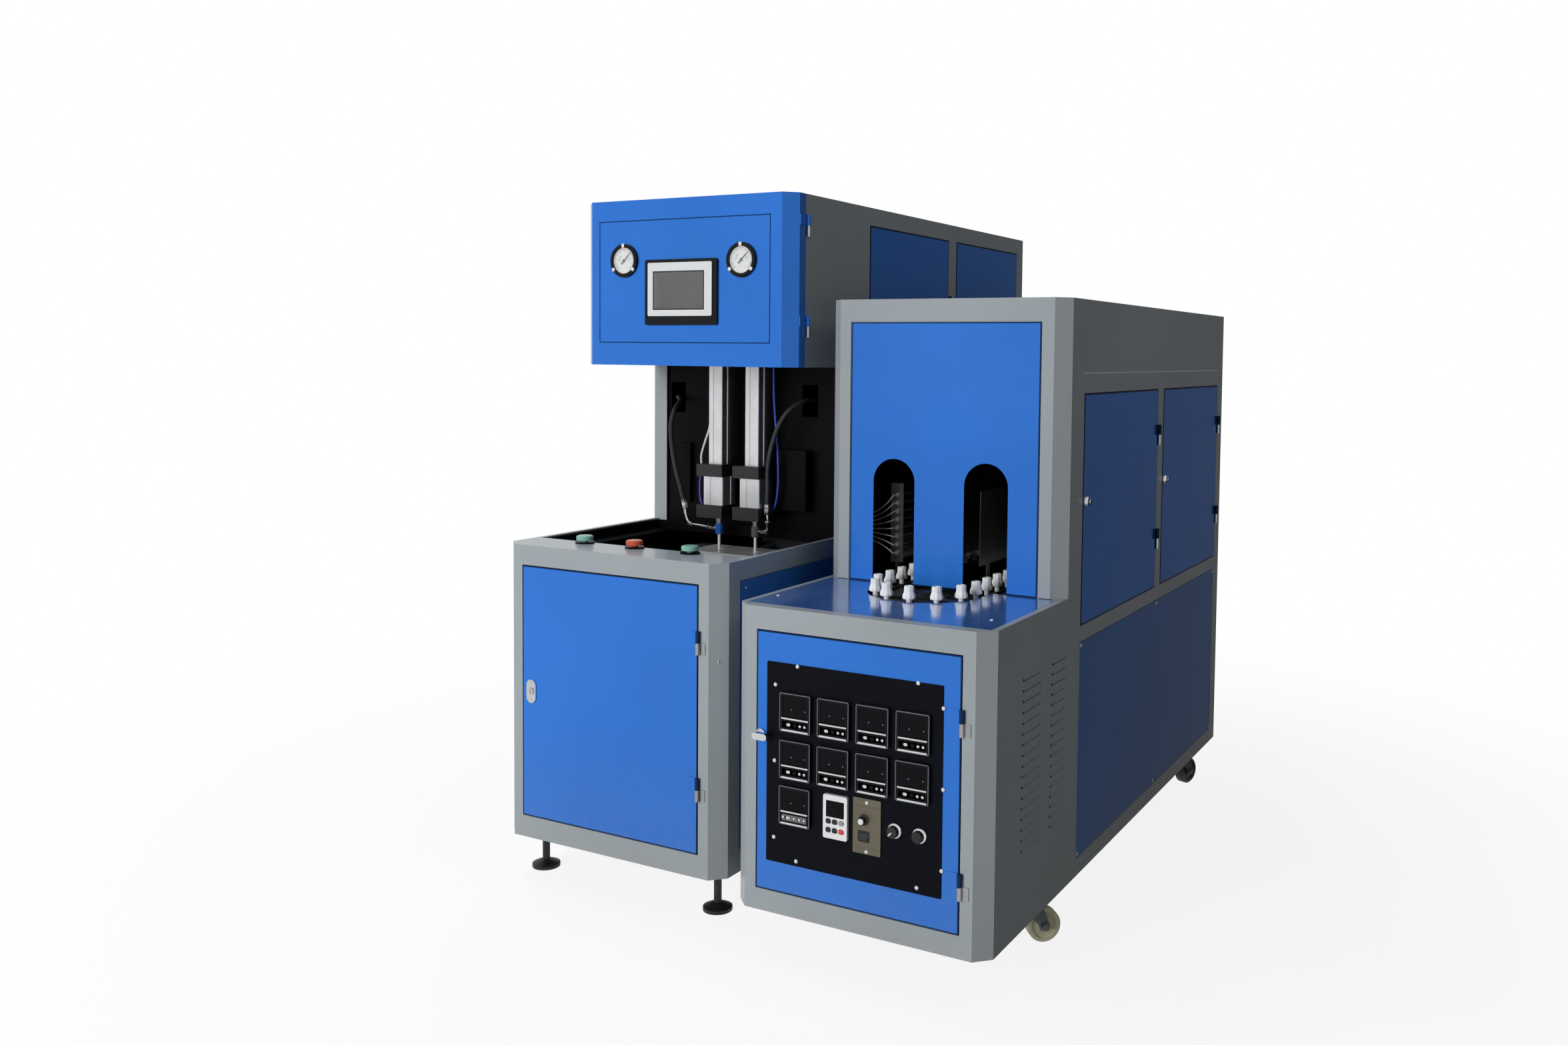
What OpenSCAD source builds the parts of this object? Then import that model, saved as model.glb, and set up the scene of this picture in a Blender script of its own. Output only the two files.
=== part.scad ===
// Semi-automatic bottle blowing machine: a two-station stretch-blow cabinet and,
// beside it, the rotary infrared cabinet that heats the preforms.
// Lengths are millimetres. +Z is up, the operator stands on the -Y side.

/* [Heating cabinet] */
// Width of the heating cabinet
heater_w = 590; // [570:5:640]
// Depth of the heating cabinet
heater_d = 1771; // [1740:1:1800]
// Height of the heating cabinet above the floor
heater_h = 1400; // [1390:5:1450]
// Height of the work deck above the floor
deck_h = 746; // [740:1:760]
// How far the tall housing stands behind the front of the cabinet
housing_front = 390; // [380:1:400]
// Height at which the loose hood begins
hood_seam_h = 1235; // [1230:1:1240]

/* [Blowing cabinet] */
// Width of the blowing cabinet
blow_w = 635; // [620:5:660]
// Height of the blowing cabinet above the floor
blow_h = 1654; // [1640:1:1680]
// How far the table stands behind the front of the heating cabinet
blow_front = 69; // [50:1:90]
// How far the back stands behind the front of the heating cabinet
blow_back = 1797; // [1780:1:1820]
// Height of the table above the floor
table_h = 810; // [805:1:815]
// Height of the underside of the head
head_h = 1240; // [1235:1:1260]
// How far the head stands behind the front of the heating cabinet
head_front = 357; // [345:1:360]
// Where the tower begins behind the open working bay
tower_front = 665; // [665:1:675]
// Depth of the strip of table that carries the push buttons
strip_d = 116; // [105:1:125]

/* [Sheet metal] */
// Gap between the two cabinets
cabinet_gap = 81; // [78:1:100]
// Height of the cabinets' undersides above the floor
under_h = 100; // [95:1:105]
// Thickness of the folded sheet
skin = 3; // [2:0.5:3]
// Width of the bevel on the front uprights
bevel = 32; // [28:1:36]
// Width of the frame between a cabinet's edge and its doors
border = 59; // [56:1:62]
// Gap between a door and its frame
reveal = 2; // [1.5:0.5:3]
// Depth of the folded tray that makes a door
door_d = 18; // [16:1:20]
// How far a door stands in front of its frame
door_proud = 1; // [0.5:0.5:1.5]
// Width of the stop that a door closes against
stop_w = 12; // [10:1:12]
// Depth of the head door, from its face to its seam
head_door_d = 58; // [54:1:60]

/* [Hinges and locks] */
// Radius of a hinge barrel
barrel_r = 5; // [4.5:0.5:5]
// Radius of a hinge pin
pin_r = 3; // [2.5:0.5:3]
// Radial clearance of a pin or shaft that turns in its bore
run_fit = 0.05; // [0.03:0.01:0.08]
// Height of half a hinge
half_hinge = 26; // [22:1:30]
// Radius of a round lock
lock_r = 11; // [10:1:12]

/* [Preform chain] */
// Distance between two preform seats
pitch = 60; // [59:0.5:61]
// Number of pockets in each chain wheel
pockets = 12; // [12:12]
// Number of seats on each straight run
run_seats = 19; // [17:1:19]
// Distance of the chain wheel's shaft behind the front
wheel_y = 332; // [326:1:336]
// How far the chain's centre stands to the left of the cabinet's centre
chain_offset = 5; // [0:1:8]
// Radius of the pin under a seat
stem_r = 4; // [3.5:0.5:4.5]
// Height of a seat
seat_h = 33; // [30:1:36]
// Radius of a seat's skirt
seat_r = 16.5; // [15:0.5:17]
// Width of an arch in the blue front
arch_w = 106; // [100:1:110]
// Height of the arches' tops above the floor
arch_h = 1034; // [1000:1:1060]

/* [Lamps] */
// Number of lamps in a bank
lamp_count = 8; // [6:1:8]
// Distance between two lamps
lamp_pitch = 20; // [18:0.5:20]
// Radius of a lamp
lamp_r = 5; // [4:0.5:6]
// Distance from the preforms' path to the lamps
lamp_off = 50; // [46:1:54]
// Length of the lamp bank
bank_len = 860; // [780:10:880]

/* [Blowing stations] */
// Distance between the two stations
station_pitch = 115; // [112:1:120]
// Distance of the stations behind the front of the heating cabinet
station_y = 600; // [598:1:602]
// Width of a stretch cylinder
stretch_w = 43; // [40:1:46]
// Width of a sealing cylinder
seal_w = 62; // [58:1:64]
// Radius of a stretch rod
rod_r = 4; // [3.5:0.5:4.5]

/* [Mould clamp] */
// Width of the mould
mould_w = 228; // [220:1:236]
// Height of the mould
mould_h = 260; // [250:1:262]
// Depth of one half of the mould
mould_d = 65; // [60:1:68]
// Height of the mould's top above the floor
mould_top = 750; // [746:1:754]
// Radius of the bottle's body
bottle_r = 33; // [28:1:36]
// Radius of the bottle's neck
neck_r = 13; // [12:0.5:14]
// How far each half of the mould opens
open_travel = 60; // [50:1:62]
// Thickness of a platen
platen_t = 30; // [26:1:32]
// Radius of a tie bar
tie_r = 14; // [12:1:15]
// Tooth size of the rack and pinion
gear_module = 3; // [3:3]
// Number of teeth on the pinion
gear_teeth = 20; // [20:20]

/* [Castors] */
// Radius of a castor wheel
wheel_r = 37.5; // [35:0.5:38]
// Width of a castor wheel
wheel_w = 26; // [22:1:28]
// Distance from a castor's swivel to its axle
trail = 30; // [26:1:32]

/* [Hidden] */
frame_grey = "#8c9397";
panel_blue = "#3f79dc";
dark = "#1c1d20";
steel = "#c9ccd0";
white = "#f2f2f0";
$fn = 40;
e = 0.01;
rest_gap = 0.3;

// The machine's own corner: the heating cabinet's left front foot of the plan
lock_out = 14;
handle_out = 26;
mid_x = (heater_w + lock_out - cabinet_gap - blow_w) / 2;
mid_y = (blow_back - handle_out) / 2;
module machine() translate([-mid_x, -mid_y, 0]) children();

blow_x1 = -cabinet_gap;
blow_x0 = blow_x1 - blow_w;
blow_mid = (blow_x0 + blow_x1) / 2;
chain_x = heater_w / 2 - chain_offset;
wheel_pitch_r = pockets * pitch / (2 * PI);
run_len = run_seats * pitch;

// Basic solids
module block(a, b) translate(a) cube(b - a);
module disc(r, z0, z1) translate([0, 0, z0]) cylinder(r = r, h = z1 - z0);
module plan(x0, x1, y0, y1, c)
    polygon([[x0, y0 + c], [x0 + c, y0], [x1 - c, y0], [x1, y0 + c], [x1, y1], [x0, y1]]);
// A solid column on a bevelled plan, drawn in by t all round
module column(x0, x1, y0, y1, z0, z1, c, t = 0)
    translate([0, 0, z0])
        linear_extrude(z1 - z0)
            plan(x0 + t, x1 - t, y0 + t, y1 - t, c - t * (2 - sqrt(2)));
module rounded(w, h, r) {
    translate([-w / 2 + r, -h / 2]) square([w - 2 * r, h]);
    translate([-w / 2, -h / 2 + r]) square([w, h - 2 * r]);
    for (x = [-1, 1], y = [-1, 1])
        translate([x * (w / 2 - r), y * (h / 2 - r)]) circle(r);
}
// A rounded plate that faces -Y: its face at y0, its back at y1
module plate(x, z, w, h, r, y0, y1)
    translate([x, y1, z])
        rotate([90, 0, 0])
            linear_extrude(y1 - y0) rounded(w, h, r);
// A round bar along Y
module bar_y(x, z, r, y0, y1) translate([x, y1, z]) rotate([90, 0, 0]) cylinder(r = r, h = y1 - y0);
// A turned profile whose axis points out of the front
module turned_front(x, y, z) translate([x, y, z]) rotate([90, 0, 0]) rotate_extrude() children();

// Places on the four sides: local X runs to the right, local Y runs inwards
module on_front(x, y, z) translate([x, y, z]) children();
module on_right(x, y, z) translate([x, y, z]) rotate([0, 0, 90]) children();
module on_left(x, y, z) translate([x, y, z]) rotate([0, 0, -90]) children();
module on_back(x, y, z) translate([x, y, z]) rotate([0, 0, 180]) children();

// Openings, stops, doors and panels, all drawn from an opening's lower left corner
panel_t = 2;
module opening(w, h) block([0, -skin, 0], [w, skin + e, h]);
module jamb(w, h, depth)
    difference() {
        block([-skin, 0, -skin], [w + skin, depth + skin, h + skin]);
        block([0, -1, 0], [w, depth, h]);
        block([stop_w, -1, stop_w], [w - stop_w, depth + skin + 1, h - stop_w]);
    }
stop_depth = door_d - door_proud + rest_gap;
module panel(w, h) block([reveal, 0.5, reveal], [w - reveal, 0.5 + panel_t, h - reveal]);
panel_depth = 0.5 + panel_t;
rib_w = 60;
module tray(w, h, z_hinges) {
    difference() {
        block([reveal, -door_proud, reveal], [w - reveal, door_d - door_proud, h - reveal]);
        block([reveal + panel_t, panel_t - door_proud, reveal + panel_t],
              [w - reveal - panel_t, door_d, h - reveal - panel_t]);
    }
    block([w / 2 - rib_w / 2, panel_t - door_proud - e, reveal + panel_t - e],
          [w / 2 + rib_w / 2, door_d - door_proud - panel_t, h - reveal - panel_t + e]);
    for (z = z_hinges) upper_hinge(w, z);
}
hinge_x = 1;
hinge_y = -(barrel_r + 0.5);
leaf = 24;
module upper_hinge(w, z)
    difference() {
        union() {
            translate([w + hinge_x, hinge_y, z + rest_gap / 2]) cylinder(r = barrel_r, h = half_hinge);
            block([w - leaf, -door_proud - 2, z + rest_gap / 2],
                  [w + hinge_x, -door_proud + e, z + rest_gap / 2 + half_hinge]);
        }
        translate([w + hinge_x, hinge_y, z - 1]) cylinder(r = pin_r + run_fit, h = half_hinge - 3);
    }
module lower_hinge(w, z) {
    translate([w + hinge_x, hinge_y, z - rest_gap / 2 - half_hinge]) cylinder(r = barrel_r, h = half_hinge);
    translate([w + hinge_x, hinge_y, z - half_hinge]) cylinder(r = pin_r, h = 2 * half_hinge - 7);
    block([w + hinge_x, -2, z - rest_gap / 2 - half_hinge],
          [w + hinge_x + leaf - 6, 0, z - rest_gap / 2]);
}
// A round cam lock on a door: its rose outside and its cam inside
module cam_lock(x, z, y0)
    turned_front(x, y0, z)
        polygon([[0, -12], [6, -12], [6, 0], [lock_r, 0], [lock_r, 5], [lock_r - 2, 8], [6, 8],
                 [5.5, lock_out - door_proud], [0, lock_out - door_proud]]);

// Swept tubes: points are joined by a smooth curve, then rings ride along it
function curve_at(p, i, t) =
    let (n = len(p) - 1, a = p[max(i - 1, 0)], b = p[i], c = p[min(i + 1, n)], d = p[min(i + 2, n)])
    0.5 * (2 * b + (c - a) * t + (2 * a - 5 * b + 4 * c - d) * t * t
           + (3 * b - a - 3 * c + d) * t * t * t);
function smooth(p, n) =
    concat([for (i = [0 : len(p) - 2], k = [0 : n - 1]) curve_at(p, i, k / n)], [p[len(p) - 1]]);
function along(p, i) =
    let (d = p[min(i + 1, len(p) - 1)] - p[max(i - 1, 0)]) d / norm(d);
function carry(p, i, u) =
    i >= len(p) ? [] :
    let (t = along(p, i), w = u - (u * t) * t, s = w / norm(w))
    concat([[s, cross(t, s)]], carry(p, i + 1, s));
module tube(p, r, sides, start = [0, 1, 0]) {
    f = carry(p, 0, start);
    n = len(p);
    points = [for (i = [0 : n - 1], k = [0 : sides - 1])
        p[i] + r * (cos(360 * k / sides) * f[i][0] + sin(360 * k / sides) * f[i][1])];
    walls = [for (i = [0 : n - 2], k = [0 : sides - 1], h = [0, 1])
        let (a = i * sides + k, b = i * sides + (k + 1) % sides)
        h == 0 ? [a, b + sides, b] : [a, a + sides, b + sides]];
    polyhedron(points, concat(walls, [[for (k = [0 : sides - 1]) k]],
        [[for (k = [sides - 1 : -1 : 0]) (n - 1) * sides + k]]));
}

// Heating cabinet: the welded grey body
front_open_z = 146;
front_open_h = 552;
control_open_w = heater_w - 2 * border;
side_front_y = 503;
side_rail_z = 635;
side_door_z = 671;
side_door_top = 1192;
door_a_w = 578;
door_gap = 51;
door_b_w = 580;
door_b_y = side_front_y + door_a_w + door_gap;
side_back_y = door_b_y + door_b_w;
lower_panel_z = 140;
lower_panel_h = side_rail_z - lower_panel_z;
blue_top = heater_h - 51;
hood_y0 = side_front_y - 16;
hood_y1 = heater_d - 57;
deck_t = 3;
deck_front = 30;
deck_side = 14;
beam_z = side_rail_z + 33;
beam_h = 40;
cross_w = 40;
bank_y0 = wheel_y + 183;
bank_y1 = bank_y0 + bank_len;
beam_ys = [wheel_y - cross_w / 2, bank_y0 + 25, (bank_y0 + bank_y1) / 2 - 25, bank_y1 - 45,
           wheel_y + run_len - cross_w / 2];
shaft_r = 12.5;
louvre_h = 6;
louvre_step = 22;
module louvre_column(y0, y1, z0, count)
    for (k = [0 : count - 1])
        on_right(heater_w, y0, z0 + k * louvre_step) block([0, -1, 0], [y1 - y0, skin + 1, louvre_h]);
module louvre_hoods(y0, y1, z0, count)
    for (k = [0 : count - 1])
        on_right(heater_w, y0, z0 + k * louvre_step)
            translate([0, 0, louvre_h - 1])
                rotate([90, 0, 90])
                    linear_extrude(y1 - y0) polygon([[1, 4], [-3, 0], [-3, -1.5], [1, 2.5]]);
louvre_a = [164, 265];
louvre_b = [328, 415];
louvre_n = 17;
louvre_z = 266;
module side_cuts() {
    on_right(heater_w, side_front_y, side_door_z) opening(door_a_w, side_door_top - side_door_z);
    on_right(heater_w, door_b_y, side_door_z) opening(door_b_w, side_door_top - side_door_z);
    on_right(heater_w, side_front_y, lower_panel_z) opening(side_back_y - side_front_y, lower_panel_h);
    on_left(0, side_back_y, side_door_z) opening(side_back_y - side_front_y, side_door_top - side_door_z);
    on_left(0, side_back_y, lower_panel_z) opening(side_back_y - side_front_y, lower_panel_h);
}
module side_jambs() {
    on_right(heater_w, side_front_y, side_door_z) jamb(door_a_w, side_door_top - side_door_z, stop_depth);
    on_right(heater_w, door_b_y, side_door_z) jamb(door_b_w, side_door_top - side_door_z, stop_depth);
    on_right(heater_w, side_front_y, lower_panel_z)
        jamb(side_back_y - side_front_y, lower_panel_h, panel_depth);
    on_left(0, side_back_y, side_door_z)
        jamb(side_back_y - side_front_y, side_door_top - side_door_z, panel_depth);
    on_left(0, side_back_y, lower_panel_z) jamb(side_back_y - side_front_y, lower_panel_h, panel_depth);
}
module castors()
    for (x = castor_x, y = castor_y) translate([x, y, 0]) children();
back_open_w = heater_w - 2 * border;
back_open_z = 160;
back_open_h = hood_seam_h - back_open_z - 60;
module heater_cabinet() machine() color(frame_grey) {
    difference() {
        union() {
            column(0, heater_w, 0, heater_d, under_h, deck_h, bevel);
            column(0, heater_w, housing_front, heater_d, deck_h - skin, heater_h, bevel - 1);
        }
        column(0, heater_w, 0, heater_d, under_h + skin, deck_h - 2 * skin, bevel, skin);
        column(0, heater_w, housing_front, heater_d, deck_h - 3 * skin, heater_h - skin, bevel - 1, skin);
        block([deck_side, deck_front, deck_h - skin],
              [heater_w - deck_side, housing_front + 2 * skin, deck_h + 1]);
        block([deck_side + stop_w, deck_front + stop_w, deck_h - 3 * skin],
              [heater_w - deck_side - stop_w, housing_front + 2 * skin, deck_h]);
        on_front(border, 0, front_open_z) opening(control_open_w, front_open_h);
        on_front(border, housing_front, deck_h) opening(control_open_w, blue_top - deck_h);
        side_cuts();
        block([-1, hood_y0, hood_seam_h], [heater_w + 1, hood_y1, heater_h + 1]);
        on_back(heater_w - border, heater_d, back_open_z) opening(back_open_w, back_open_h);
        louvre_column(louvre_a[0], louvre_a[1], louvre_z, louvre_n);
        louvre_column(louvre_b[0], louvre_b[1], louvre_z, louvre_n);
        castors() disc(king_r + 3, under_h - 1, under_h + king_len);
    }
    louvre_hoods(louvre_a[0], louvre_a[1], louvre_z, louvre_n);
    louvre_hoods(louvre_b[0], louvre_b[1], louvre_z, louvre_n);
    difference() {
        on_front(border, 0, front_open_z) jamb(control_open_w, front_open_h, stop_depth);
        block([border + 3, stop_depth - 1, handle_z - 36],
              [border + stop_w + 1, stop_depth + skin + 1, handle_z + 10]);
    }
    on_front(border, housing_front, 0) difference() {
        block([-skin, 0, deck_h], [control_open_w + skin, panel_depth + skin, blue_top + skin]);
        block([0, -1, deck_h - 1], [control_open_w, panel_depth, blue_top]);
        block([stop_w, -1, deck_h - 1], [control_open_w - stop_w, panel_depth + skin + 1, blue_top - stop_w]);
    }
    side_jambs();
    on_back(heater_w - border, heater_d, back_open_z) jamb(back_open_w, back_open_h, panel_depth);
    for (y = beam_ys)
        difference() {
            block([skin - e, y, beam_z - beam_h], [heater_w - skin + e, y + cross_w, beam_z]);
            for (i = [0, 1]) translate([chain_x, wheel_y + i * run_len, 0]) disc(shaft_r + 1, 0, deck_h);
        }
    castors()
        difference() {
            union() {
                block([-38, -38, under_h - castor_plate_t], [38, 38, under_h + e]);
                disc(king_r + 6, under_h, under_h + king_len);
            }
            disc(king_r + run_fit, under_h - 20, under_h + king_len - 2);
        }
    for (x = [skin - e, heater_w - skin - 20 + e])
        block([x, hood_y0 - 1, hood_seam_h - skin], [x + 20, hood_y1 + 1, hood_seam_h]);
}
module heater_hood() machine() color(frame_grey)
    difference() {
        block([0, hood_y0 + 0.5, hood_seam_h], [heater_w, hood_y1 - 0.5, heater_h]);
        block([skin, hood_y0, hood_seam_h - 1], [heater_w - skin, hood_y1, heater_h - skin]);
    }
// The blue front with its two arches
module arch_cut(x)
    translate([x, 0]) {
        translate([-arch_w / 2, -1]) square([arch_w, arch_h - arch_w / 2 - deck_h + 1]);
        translate([0, arch_h - arch_w / 2 - deck_h]) circle(arch_w / 2, $fn = 64);
    }
module heater_front_panel() machine() color(panel_blue)
    translate([0, housing_front + 0.5 + panel_t, deck_h + rest_gap])
        rotate([90, 0, 0])
            linear_extrude(panel_t)
                difference() {
                    translate([border + reveal, 0])
                        square([control_open_w - 2 * reveal, blue_top - deck_h - reveal]);
                    for (s = [-1, 1]) arch_cut(chain_x + s * wheel_pitch_r);
                }
slot_r = wheel_pitch_r + seat_r;
module deck_plate() machine() color(panel_blue)
    translate([0, 0, deck_h - deck_t])
        linear_extrude(deck_t)
            difference() {
                translate([deck_side + 0.5, deck_front + 0.5])
                    square([heater_w - 2 * deck_side - 1, housing_front - deck_front - 1]);
                translate([chain_x, wheel_y]) circle(slot_r, $fn = 96);
                translate([chain_x - slot_r, wheel_y]) square([2 * slot_r, housing_front]);
            }
// Every blue panel that is only screwed on: sides and backs of both cabinets
tower_door_z = table_h + 50;
tower_door_h = blow_h - 46 - tower_door_z;
tower_a_y = 736;
tower_a_w = 485;
tower_gap = 52;
tower_b_y = tower_a_y + tower_a_w + tower_gap;
tower_b_w = 472;
low_panel_y = blow_front + 75;
low_panel_z = 152;
low_panel_h = table_h - 45 - low_panel_z;
low_panel_w = blow_back - 52 - low_panel_y;
tower_panel_w = tower_b_y + tower_b_w - tower_a_y;
back_w = blow_w - 2 * border;
module side_panels() machine() color(panel_blue) {
    on_right(heater_w, side_front_y, lower_panel_z) panel(side_back_y - side_front_y, lower_panel_h);
    on_left(0, side_back_y, lower_panel_z) panel(side_back_y - side_front_y, lower_panel_h);
    on_left(0, side_back_y, side_door_z) panel(side_back_y - side_front_y, side_door_top - side_door_z);
    on_back(heater_w - border, heater_d, back_open_z) panel(back_open_w, back_open_h);
    on_right(blow_x1, low_panel_y, low_panel_z) panel(low_panel_w, low_panel_h);
    on_left(blow_x0, low_panel_y + low_panel_w, low_panel_z) panel(low_panel_w, low_panel_h);
    on_left(blow_x0, tower_a_y + tower_panel_w, tower_door_z) panel(tower_panel_w, tower_door_h);
    on_back(blow_x1 - border, blow_back, low_panel_z) panel(back_w, low_panel_h);
    on_back(blow_x1 - border, blow_back, tower_door_z) panel(back_w, tower_door_h);
}
// The preform chain runs round two wheels. A place on it is counted in pitches
// from the left wheel tangent, over the front wheel, and on to the right run.
seat_total = pockets + 2 * run_seats;
chain_phase = 7 / 30;
function chain_point(k) =
    let (s = k + chain_phase, half = pockets / 2)
    s < half ?
        let (a = 180 * s / half) [chain_x - wheel_pitch_r * cos(a), wheel_y - wheel_pitch_r * sin(a)] :
    s < half + run_seats ? [chain_x + wheel_pitch_r, wheel_y + (s - half) * pitch] :
    s < 2 * half + run_seats ?
        let (a = 180 * (s - half - run_seats) / half)
        [chain_x + wheel_pitch_r * cos(a), wheel_y + run_len + wheel_pitch_r * sin(a)] :
    [chain_x - wheel_pitch_r, wheel_y + run_len - (s - 2 * half - run_seats) * pitch];
link_t = 2.5;
link_w = 13;
link_low = deck_h - 13;
link_high = link_low + link_t + 0.5;
module link(a, b, z) {
    d = b - a;
    translate([a[0], a[1], z])
        rotate([0, 0, atan2(d[1], d[0])])
            linear_extrude(link_t)
                difference() {
                    union() {
                        translate([0, -link_w / 2 + 2]) square([norm(d), link_w - 4]);
                        circle(link_w / 2);
                        translate([norm(d), 0]) circle(link_w / 2);
                    }
                    circle(stem_r + 0.2);
                    translate([norm(d), 0]) circle(stem_r + 0.2);
                }
}
module preform_chain() machine() color(dark)
    for (k = [0 : seat_total - 1])
        link(chain_point(k), chain_point((k + 1) % seat_total), k % 2 == 0 ? link_low : link_high);
seat_z = deck_h + 6;
wheel_t = 6;
wheel_z = link_low - wheel_t;
stem_low = wheel_z - 1;
collar_z = link_high + link_t + 0.2;
module preform_seats() machine() color(white)
    for (k = [0 : seat_total - 1])
        translate([chain_point(k)[0], chain_point(k)[1], 0])
            rotate_extrude($fn = 32)
                polygon([[0, stem_low], [stem_r, stem_low], [stem_r, collar_z], [stem_r + 2.5, collar_z],
                         [stem_r + 2.5, seat_z], [seat_r, seat_z],
                         [seat_r, seat_z + 2], [seat_r - 4, seat_z + 10], [seat_r - 4.3, seat_z + seat_h - 2],
                         [seat_r - 6, seat_z + seat_h], [5, seat_z + seat_h], [4.5, seat_z + seat_h - 4],
                         [0, seat_z + seat_h - 4]]);
// Guide rails each side of the pins on the two straight runs
guide_w = 12;
guide_h = 20;
guide_gap = 1.5;
wheel_rim = 3;
guide_in = wheel_pitch_r - stem_r - guide_gap - guide_w;
guide_start = sqrt(pow(wheel_pitch_r + wheel_rim, 2) - pow(guide_in, 2)) + 4;
module chain_guide() machine() color(dark)
    for (s = [-1, 1], side = [-1, 1])
        translate([chain_x + s * wheel_pitch_r + side * (stem_r + guide_gap + guide_w / 2), 0, 0]) {
            block([-guide_w / 2, wheel_y + guide_start, link_low - guide_h],
                  [guide_w / 2, wheel_y + run_len - guide_start, link_low]);
            for (i = [1 : 3])
                block([-guide_w / 2, beam_ys[i], beam_z], [guide_w / 2, beam_ys[i] + cross_w, link_low - 1]);
        }
// Two pocketed wheels on their shafts, and the geared motor under the rear one
hub_r = 28;
motor_z = beam_z - beam_h;
module chain_wheel()
    linear_extrude(wheel_t)
        difference() {
            circle(wheel_pitch_r + wheel_rim, $fn = 96);
            for (k = [0 : pockets - 1])
                rotate([0, 0, 180 + 360 * (k + chain_phase) / pockets])
                    translate([wheel_pitch_r, 0]) {
                        circle(stem_r + 0.4);
                        translate([0, -stem_r - 0.4]) square([10, 2 * stem_r + 0.8]);
                    }
            for (k = [0 : 5]) rotate([0, 0, 30 + 60 * k]) translate([64, 0]) circle(20);
        }
module chain_drive() machine() {
    for (i = [0, 1])
        translate([chain_x, wheel_y + i * run_len, 0]) {
            color(dark) translate([0, 0, wheel_z]) chain_wheel();
            color(dark) disc(hub_r, beam_z, wheel_z + 12);
            color(dark) disc(shaft_r, motor_z - 6, wheel_z + 20);
        }
    color(dark) translate([chain_x, wheel_y + run_len, 0]) {
        block([-60, -60, motor_z - 90], [60, 60, motor_z]);
        disc(46, motor_z - 250, motor_z - 90 + e);
        for (k = [0 : 11]) rotate([0, 0, 30 * k]) block([45, -1.5, motor_z - 240], [52, 1.5, motor_z - 100]);
    }
}
// Two lamp banks outside the runs, each with its folded reflector box
lamp_z0 = deck_h + 53;
lamp_top = lamp_z0 + (lamp_count - 1) * lamp_pitch;
box_low = lamp_z0 - 24;
box_top = lamp_top + 26;
end_t = 2;
box_back = 20;
leg_w = 20;
module reflector_box(s) {
    x = chain_x + s * (wheel_pitch_r + lamp_off);
    difference() {
        union() {
            block([x + s * box_back - 1, bank_y0, box_low], [x + s * box_back + 1, bank_y1, box_top]);
            for (y = [bank_y0, bank_y1 - end_t])
                block([min(x + s * box_back + 1, x - s * 12), y, box_low],
                      [max(x + s * box_back + 1, x - s * 12), y + end_t, box_top]);
        }
        for (k = [0 : lamp_count - 1])
            bar_y(x, lamp_z0 + k * lamp_pitch, lamp_r + 1.5, bank_y0 - 1, bank_y1 + 1);
    }
    for (i = [1, 3])
        block([x + s * box_back - 1, beam_ys[i], beam_z],
              [x + s * box_back + 1, beam_ys[i] + leg_w, box_low + e]);
}
inner_off = 60;
module inner_reflector(s) {
    x = chain_x + s * (wheel_pitch_r - inner_off);
    block([x - 1, bank_y0 - 15, box_low + 10], [x + 1, bank_y1, box_top - 6]);
    for (i = [1, 3])
        block([x - 1, beam_ys[i], beam_z], [x + 1, beam_ys[i] + leg_w, box_low + 10 + e]);
}
module reflectors() machine() color("#a8adb0") {
    for (s = [-1, 1]) {
        reflector_box(s);
        inner_reflector(s);
        translate([s > 0 ? heater_w : 0, 0, 0]) mirror([s > 0 ? 1 : 0, 0, 0]) {
            block([terminal_in - 12, terminal_y - 10, terminal_z - 45],
                  [terminal_in - rest_gap, terminal_y + 14, terminal_z + 45]);
            block([skin, terminal_y - 10, terminal_z - 45],
                  [terminal_in - 12 + e, terminal_y - 7, terminal_z + 45]);
        }
    }
}
cap_len = 18;
module lamp(x, z)
    translate([x, bank_y0 - cap_len + 4, z])
        rotate([-90, 0, 0])
            rotate_extrude($fn = 24)
                polygon(let (n = bank_len + 2 * (cap_len - 4), r = lamp_r + 1.2)
                    [[0, 0], [1.5, 0], [1.5, 4], [r, 4], [r, cap_len], [lamp_r, cap_len],
                     [lamp_r, n - cap_len], [r, n - cap_len], [r, n - 4], [1.5, n - 4], [1.5, n], [0, n]]);
module lamps() machine() color("#e6e2d8")
    for (s = [-1, 1], k = [0 : lamp_count - 1])
        lamp(chain_x + s * (wheel_pitch_r + lamp_off), lamp_z0 + k * lamp_pitch);
// Leads from a terminal strip on each wall to the front ends of the lamps
terminal_in = 66;
terminal_back = 150;
terminal_up = 62;
terminal_y = wheel_y + terminal_back;
terminal_z = lamp_z0 + terminal_up;
wire_r = 1.6;
module lamp_wires() machine() color("#8f8a78")
    for (s = [-1, 1], k = [0 : lamp_count - 1]) {
        x = chain_x + s * (wheel_pitch_r + lamp_off);
        z = lamp_z0 + k * lamp_pitch;
        from = [s < 0 ? terminal_in : heater_w - terminal_in, terminal_y + 2, terminal_z - 35 + 10 * k];
        path = [from, from - [12 * s, 0, 0], [x + 18 * s, terminal_y + 4, (z + from[2]) / 2],
                [x + 2 * s, bank_y0 - cap_len - 6, z], [x, bank_y0 - cap_len + 4 - rest_gap, z]];
        tube(smooth(path, 3), wire_r, 8, [0, 0, 1]);
    }

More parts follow.
